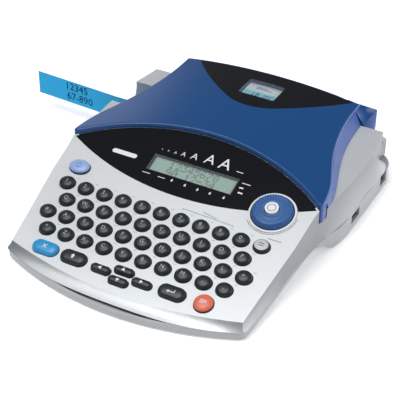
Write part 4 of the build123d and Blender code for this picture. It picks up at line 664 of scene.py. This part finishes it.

# Single keys: node, place, size, finish, slot, the finish of the painted shade on the lowest rings and how
# many rings it takes, legend and its finish
return_arrow = [*stroke((2.2, 1.0), (2.2, -0.8), 0.5), *stroke((2.45, -0.8), (-1.4, -0.8), 0.5)]
return_arrow += [[(-3.0, -0.8), (-1.3, 0.2), (-1.3, -1.8)]]
shift_mark = [[(-1.4, -0.2), (1.4, -0.2), (0, 1.6)], *bar(1.2, 1.4, 0, -0.9)]
power_mark = [*arc_band(1.9, 0.5, 130, 410), *bar(0.5, 2.0, 0, 1.4)]
print_mark = [*bar(4.4, 0.45, 0, 0.9), *bar(4.4, 0.45, 0, -0.1), *bar(2.6, 0.45, -0.9, -1.1)]
function_mark = [*bar(3.4, 0.5, 0, 0.8), *bar(3.4, 0.5, 0, -0.8)]
cancel_mark = [*stroke((-1.3, -1.3), (1.3, 1.3), 0.5), *stroke((-1.3, 1.3), (1.3, -1.3), 0.5)]
SINGLE_KEYS = (
    ("function_key", (68.3, 0.0), KEY_SIZE, key_silver, "silver_key", key_dark, 4, function_mark, dark_ink),
    ("power_key", (-70.8, 14.4), (14.7, 11.2), key_pale, "pale_blue_key", power_key_foot_shade, 2, power_mark, blue_ink),
    ("cancel_key", (-57.4, -50.4), PILL_SIZE, key_cyan, "cyan_key", None, 0, cancel_mark, white_ink),
    ("shift_key", (-36.5, -50.4), PILL_SIZE, key_dark, "dark_keys", None, 0, shift_mark, white_ink),
    ("return_key", (33.0, -50.4), PILL_SIZE, key_dark, "dark_keys", None, 0, return_arrow, white_ink),
    ("print_key", (54.2, -50.0), (12.4, 12.4), key_orange, "orange_key", print_key_foot_shade, 2, print_mark, white_ink),
)
ARROW_KEYS = (("left", -1, 0, 180), ("up", 0, 1, 90), ("down", 0, -1, 270), ("right", 1, 0, 0))
for node, (u, v), size, finish, slot, shade_finish, shaded_rings, legend, ink in SINGLE_KEYS:
    key_caps(f"{node}_cap", node, [(u, v)], size, finish, shade_finish, shaded_rings)
    legend_place = place_on_key(u, v, size)
    printed(f"{node}_legend", [(divided(legend), legend_place)], ink, node + "_body")
for way, across, upward, turn in ARROW_KEYS:
    node = f"arrow_{way}_key"
    u = ARROW_CENTRE[0] + across * ARROW_SPREAD[0]
    v = ARROW_CENTRE[1] + upward * ARROW_SPREAD[1]
    key_caps(f"{node}_cap", node, [(u, v)], ARROW_SIZE, key_dark)
    legend_place = place_on_key(u, v, ARROW_SIZE)
    legend = [(divided(triangle(ARROW_MARK_SIZE, turn)), legend_place)]
    printed(f"{node}_legend", legend, white_ink, node + "_body")

# Prints on the silver face: small marks beside the keys, two brackets over the first row, an arc at the dial
printed("face_marks", face_marks, grey_ink, "casing")
bracket_lines = [
    *stroke((9.1, 8.9), (44.7, 8.1), 0.35),
    *stroke((22.2, 11.1), (33.0, 9.3), 0.35),
    *stroke((9.1, 8.9), (9.1, 7.6), 0.35),
    *stroke((44.7, 8.1), (44.7, 6.9), 0.35),
]
printed("face_brackets", [(bracket_lines, place_on_face(0, 0))], blue_ink, "casing")
dial_arc = arc_band(DIAL_RING_RADIUS + 1.0, 0.45, -140, 5)
dial_caption = stroke((5.5, -18.6), (14.6, -18.4), 0.5)
dial_marks = [(dial_arc + dial_caption, place_on_face(*DIAL_CENTRE))]
printed("dial_arc", dial_marks, grey_ink, "casing")

# Prints on the black panel: a row of growing letters over the display, pointers under it, bars at its right
GROWING_LETTERS = (
    (-26.8, 47.6, 1.5),
    (-22.2, 47.8, 2.0),
    (-17.1, 48.0, 3.0),
    (-11.4, 48.6, 4.9),
    (-3.6, 49.3, 7.4),
    (7.2, 50.6, 11.0),
    (18.3, 50.4, 12.6),
)
panel_marks = [(word("A", size), place_on_face(u, v)) for u, v, size in GROWING_LETTERS]
POINTERS = ((-8.5, 26.8), (1.4, 26.2), (10.6, 25.9), (19.5, 26.1), (29.3, 26.1))
for u, v in POINTERS:
    panel_marks.append((triangle(1.1, 90) + bar(1.1, 0.8, 0, -0.8), place_on_face(u, v)))
PANEL_BARS = (
    (-27.3, 26.4, 5.6, 0.5),
    (-16.0, 26.2, 5.2, 0.5),
    (29.9, 48.0, 5.0, 0.6),
    (38.0, 40.7, 6.0, 0.6),
    (36.3, 36.8, 2.8, 1.1),
    (37.4, 32.9, 3.4, 1.1),
)
for u, v, width, height in PANEL_BARS:
    panel_marks.append((bar(width, height), place_on_face(u, v)))
PLATE_CENTRE = (-48.8, 35.8)
PLATE_SIZE = (15.0, 3.4)
plate_ends = [arc_band(PLATE_SIZE[1] / 4, PLATE_SIZE[1] / 2, start, start + 180, 12) for start in (90, -90)]
for end, side in zip(plate_ends, (-1, 1)):
    panel_marks.append((end, place_on_face(PLATE_CENTRE[0] + side * PLATE_SIZE[0] / 2, PLATE_CENTRE[1])))
panel_marks.append((bar(*PLATE_SIZE), place_on_face(*PLATE_CENTRE)))
printed("panel_marks", panel_marks, white_ink, "casing")

# Black trim that closes the joint between the panel and the lid's front edge
lid_sag = LID_FRONT_Y - LID_CORNER[1]
lid_arc_radius = (LID_CORNER[0] ** 2 + lid_sag**2) / (2 * lid_sag)
lid_arc_y = LID_FRONT_Y - lid_arc_radius
TRIM_REACH = radians(34.5)
TRIM_STEPS = 60
TRIM_EDGES = (0.5, 2.6)
trim_verts = []
for k in range(TRIM_STEPS + 1):
    turn = TRIM_REACH * (2 * k / TRIM_STEPS - 1)
    for edge in TRIM_EDGES:
        x = (lid_arc_radius - edge) * sin(turn)
        y = lid_arc_y + (lid_arc_radius - edge) * cos(turn)
        trim_verts.append(on_face(x, (y - FACE_ORIGIN.y) / cos(FACE_TILT), PRINT_LIFT))
trim_faces = [(2 * k, 2 * k + 1, 2 * k + 3, 2 * k + 2) for k in range(TRIM_STEPS)]
add_piece("panel_trim", trim_verts, trim_faces, [panel_black], "casing")

# Shoulders that close the joint of the casing's halves at the rear corners, where the upper one draws in
SHOULDER_OUTER = ((95.8, 87.5), (95.8, 92.6), (94.1, 99.6), (89.1, 106.1), (81.7, 109.7))
SHOULDER_INNER = ((93.5, 87.5), (91.5, 91.0), (86.8, 97.0), (85.0, 103.0), (80.5, 107.6))
SHOULDER_THICKNESS = 1.0
RIM_HEIGHT = 13.87
RIM_START_Y = 88.0
RIM_FALL = 0.038
shoulder_verts, shoulder_faces = [], []
for side in (1, -1):
    first = len(shoulder_verts)
    for outer, inner in zip(SHOULDER_OUTER, SHOULDER_INNER):
        for x, y in (outer, inner):
            top = RIM_HEIGHT - RIM_FALL * (y - RIM_START_Y)
            for z in (top, top - SHOULDER_THICKNESS):
                shoulder_verts.append(Vector((side * x, y, z)) * MM)
    rings = [[first + 4 * k + n for n in (0, 1, 3, 2)] for k in range(len(SHOULDER_OUTER))]
    side_faces = [rings[0], rings[-1][::-1]]
    for near, far in zip(rings, rings[1:]):
        for n in range(4):
            side_faces.append([near[n], far[n], far[(n + 1) % 4], near[(n + 1) % 4]])
    shoulder_faces += [face[::side] for face in side_faces]
add_piece("rear_shoulders", shoulder_verts, shoulder_faces, [grey], "casing", smooth=False)

# Black band under the display's lens, round its edge: painted shade at the edge of the display's window
edge_shade_out = (LENS_SIZE[0] / 2, LENS_SIZE[1] / 2)
edge_shade_in = (edge_shade_out[0] - 1.3, edge_shade_out[1] - 1.0)
edge_shade_corners = ((-1, -1), (1, -1), (1, 1), (-1, 1))
edge_shade_shape = []
for (x0, y0), (x1, y1) in zip(edge_shade_corners, edge_shade_corners[1:] + edge_shade_corners[:1]):
    edge_shade_shape.append(
        [
            (x0 * edge_shade_out[0], y0 * edge_shade_out[1]),
            (x1 * edge_shade_out[0], y1 * edge_shade_out[1]),
            (x1 * edge_shade_in[0], y1 * edge_shade_in[1]),
            (x0 * edge_shade_in[0], y0 * edge_shade_in[1]),
        ]
    )
edge_shade_place = place_on_face(*LCD_CENTRE, LENS_BOTTOM + PRINT_LIFT)
printed("display_edge_shade", [(edge_shade_shape, edge_shade_place)], panel_black, "casing")

# Dial: ribbed knob with a groove round the button
knob_verts, knob_faces = [], []
KNOB_TURNS = 4 * KNOB_RIBS
for radius, height, groove_in, groove_down in KNOB_PROFILE:
    for k in range(KNOB_TURNS):
        groove = 1.0 if k % 4 in (0, 1) else 0.0
        turn = 2 * pi * k / KNOB_TURNS
        reach = radius - groove * groove_in
        place = (DIAL_CENTRE[0] + reach * cos(turn), DIAL_CENTRE[1] + reach * sin(turn))
        knob_verts.append(on_face(*place, height - groove * groove_down))
for ring in range(len(KNOB_PROFILE) - 1):
    for k in range(KNOB_TURNS):
        low = ring * KNOB_TURNS
        step = (k + 1) % KNOB_TURNS
        knob_faces.append((low + k, low + step, low + KNOB_TURNS + step, low + KNOB_TURNS + k))
knob = add_piece("ribbed_knob", knob_verts, knob_faces, [dial_blue], "dial_body", smooth=False)
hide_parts("dial_knob")
button_ring = arc_band(2.6, 0.4, 0, 360)
button_place = place_on_face(*DIAL_CENTRE, BUTTON_TOP + PRINT_LIFT)
printed("dial_button_mark", [(button_ring, button_place)], blue_ink, "dial_button_body")

# Display: two lines of dot matrix numbers
DOT_DIGITS = {
    "0": ("01110", "10001", "10011", "10101", "11001", "10001", "01110"),
    "1": ("00100", "01100", "00100", "00100", "00100", "00100", "01110"),
    "2": ("01110", "10001", "00001", "00010", "00100", "01000", "11111"),
    "3": ("11111", "00010", "00100", "00010", "00001", "10001", "01110"),
    "4": ("00010", "00110", "01010", "10010", "11111", "00010", "00010"),
    "5": ("11111", "10000", "11110", "00001", "00001", "10001", "01110"),
    "6": ("00110", "01000", "10000", "11110", "10001", "10001", "01110"),
    "7": ("11111", "00001", "00010", "00100", "01000", "01000", "01000"),
    "8": ("01110", "10001", "10001", "01110", "10001", "10001", "01110"),
    "9": ("01110", "10001", "10001", "01111", "00001", "00010", "01100"),
    "-": ("00000", "00000", "00000", "11111", "00000", "00000", "00000"),
}
DOT_PITCH = 0.76
DOT_SIZE = 0.70
DISPLAY_LINES = ("12345678", "90 12-34")
dots = []
for line, text in enumerate(DISPLAY_LINES):
    top_v = LCD_CENTRE[1] + 6.7 * DOT_PITCH - line * 7.7 * DOT_PITCH
    for place, digit in enumerate(text):
        left_u = LCD_CENTRE[0] + (place - len(text) / 2) * 6 * DOT_PITCH
        for down, pattern in enumerate(DOT_DIGITS.get(digit, ())):
            for across, lit in enumerate(pattern):
                if lit == "1":
                    u, v = left_u + across * DOT_PITCH, top_v - down * DOT_PITCH
                    dots.append((bar(DOT_SIZE, DOT_SIZE), place_on_face(u, v, LCD_TOP + PRINT_LIFT)))
printed("display_dots", dots, display_ink, "casing")

# Card under the lid's window, with a tape size on it
card_w, card_d = (size / 2 for size in WINDOW_CARD_SIZE)
card_x, card_y = WINDOW_CENTRE
CARD_STEPS = 12
card_verts = [
    on_lid(card_x + card_w * (2 * k / CARD_STEPS - 1), card_y + side * card_d, -WINDOW_CARD_DROP)
    for side in (-1, 1)
    for k in range(CARD_STEPS + 1)
]
card_faces = [(k, k + 1, CARD_STEPS + k + 2, CARD_STEPS + k + 1) for k in range(CARD_STEPS)]
add_piece("window_card", card_verts, card_faces, [card_print], "lid_body")


def place_on_card(across, back):
    """Rule that puts a flat shape on the window's card."""
    lift = PRINT_LIFT - WINDOW_CARD_DROP
    return lambda x, y: on_lid(card_x + across + x, card_y + back + y, lift)


card_marks = [
    (word("18", 6.5), place_on_card(-3.0, -4.4)),
    (bar(6.0, 0.8), place_on_card(6.0, -3.2)),
    (bar(6.0, 0.8), place_on_card(6.0, -5.4)),
    (bar(12.0, 0.7), place_on_card(0.0, 3.4)),
    (bar(8.0, 0.7), place_on_card(-2.0, 5.2)),
]
printed("window_card_marks", card_marks, label_ink, "lid_body")

# Label: two lines of numbers
LABEL_DIGIT_SIZE = 8.2
label_lines = [
    (word("12345", LABEL_DIGIT_SIZE), lambda x, z: on_label(-134.0 + x, 26.4 + z)),
    (word("67-890", LABEL_DIGIT_SIZE), lambda x, z: on_label(-131.5 + x, 18.4 + z)),
]
printed("label_numbers", label_lines, label_ink, "casing")

# Floor, light and camera
floor_mesh = bpy.data.meshes.new("floor")
FLOOR_REACH = 6.0
floor_corners = [(x * FLOOR_REACH, y * FLOOR_REACH, 0) for x, y in ((-1, -1), (1, -1), (1, 1), (-1, 1))]
floor_mesh.from_pydata(floor_corners, [], [(0, 1, 2, 3)])
pale_floor = plastic("pale_floor", (0.93, 0.93, 0.93), 0.9, 0.01, 20.0, 0.0)
floor_shader = pale_floor.node_tree.nodes["Principled BSDF"]
floor_shader.inputs["Emission Color"].default_value = (1, 1, 1, 1)
floor_shader.inputs["Emission Strength"].default_value = 0.3
floor_mesh.materials.append(pale_floor)
floor = bpy.data.objects.new("floor", floor_mesh)
bpy.context.scene.collection.objects.link(floor)


def softbox(name, place, size, energy, colour=(1, 1, 1)):
    """Rectangular studio light aimed at the middle of the object."""
    lamp = bpy.data.lights.new(name, "AREA")
    lamp.shape = "RECTANGLE"
    lamp.size, lamp.size_y = size
    lamp.energy = energy
    lamp.color = colour
    made = bpy.data.objects.new(name, lamp)
    made.location = place
    made.rotation_euler = (Vector((0, 0, 0.03)) - Vector(place)).to_track_quat("-Z", "Y").to_euler()
    bpy.context.scene.collection.objects.link(made)


softbox("key_box", (-0.25, -0.36, 1.4), (0.9, 0.9), 17.5)
softbox("left_strip", (-1.2, 0.9, 0.5), (0.9, 0.4), 2.0, (0.86, 0.84, 1.0))
softbox("right_strip", (1.3, 0.1, 0.7), (1.0, 0.4), 4.5)
softbox("rear_strip", (0.85, 1.3, 0.5), (1.0, 0.5), 7.0, (0.84, 0.86, 1.0))

world = bpy.data.worlds.new("studio")
world.use_nodes = True
world.node_tree.nodes["Background"].inputs["Color"].default_value = (1, 1, 1, 1)
world.node_tree.nodes["Background"].inputs["Strength"].default_value = 0.2
bpy.context.scene.world = world
bpy.context.scene.view_settings.view_transform = "Standard"

camera_data = bpy.data.cameras.new("camera")
camera_data.lens = 111.67
camera_data.sensor_width = 36.0
camera_data.clip_start = 0.01
camera = bpy.data.objects.new("camera", camera_data)
right = Vector((0.87922, 0.47637, 0.00679)).normalized()
forward = Vector((-0.38399, 0.71701, -0.58177)).normalized()
up = right.cross(forward).normalized()
turned = Matrix((right, up, -forward)).transposed().to_4x4()
camera.matrix_world = Matrix.Translation((0.31572, -0.58641, 0.48784)) @ turned
bpy.context.scene.collection.objects.link(camera)
bpy.context.scene.camera = camera
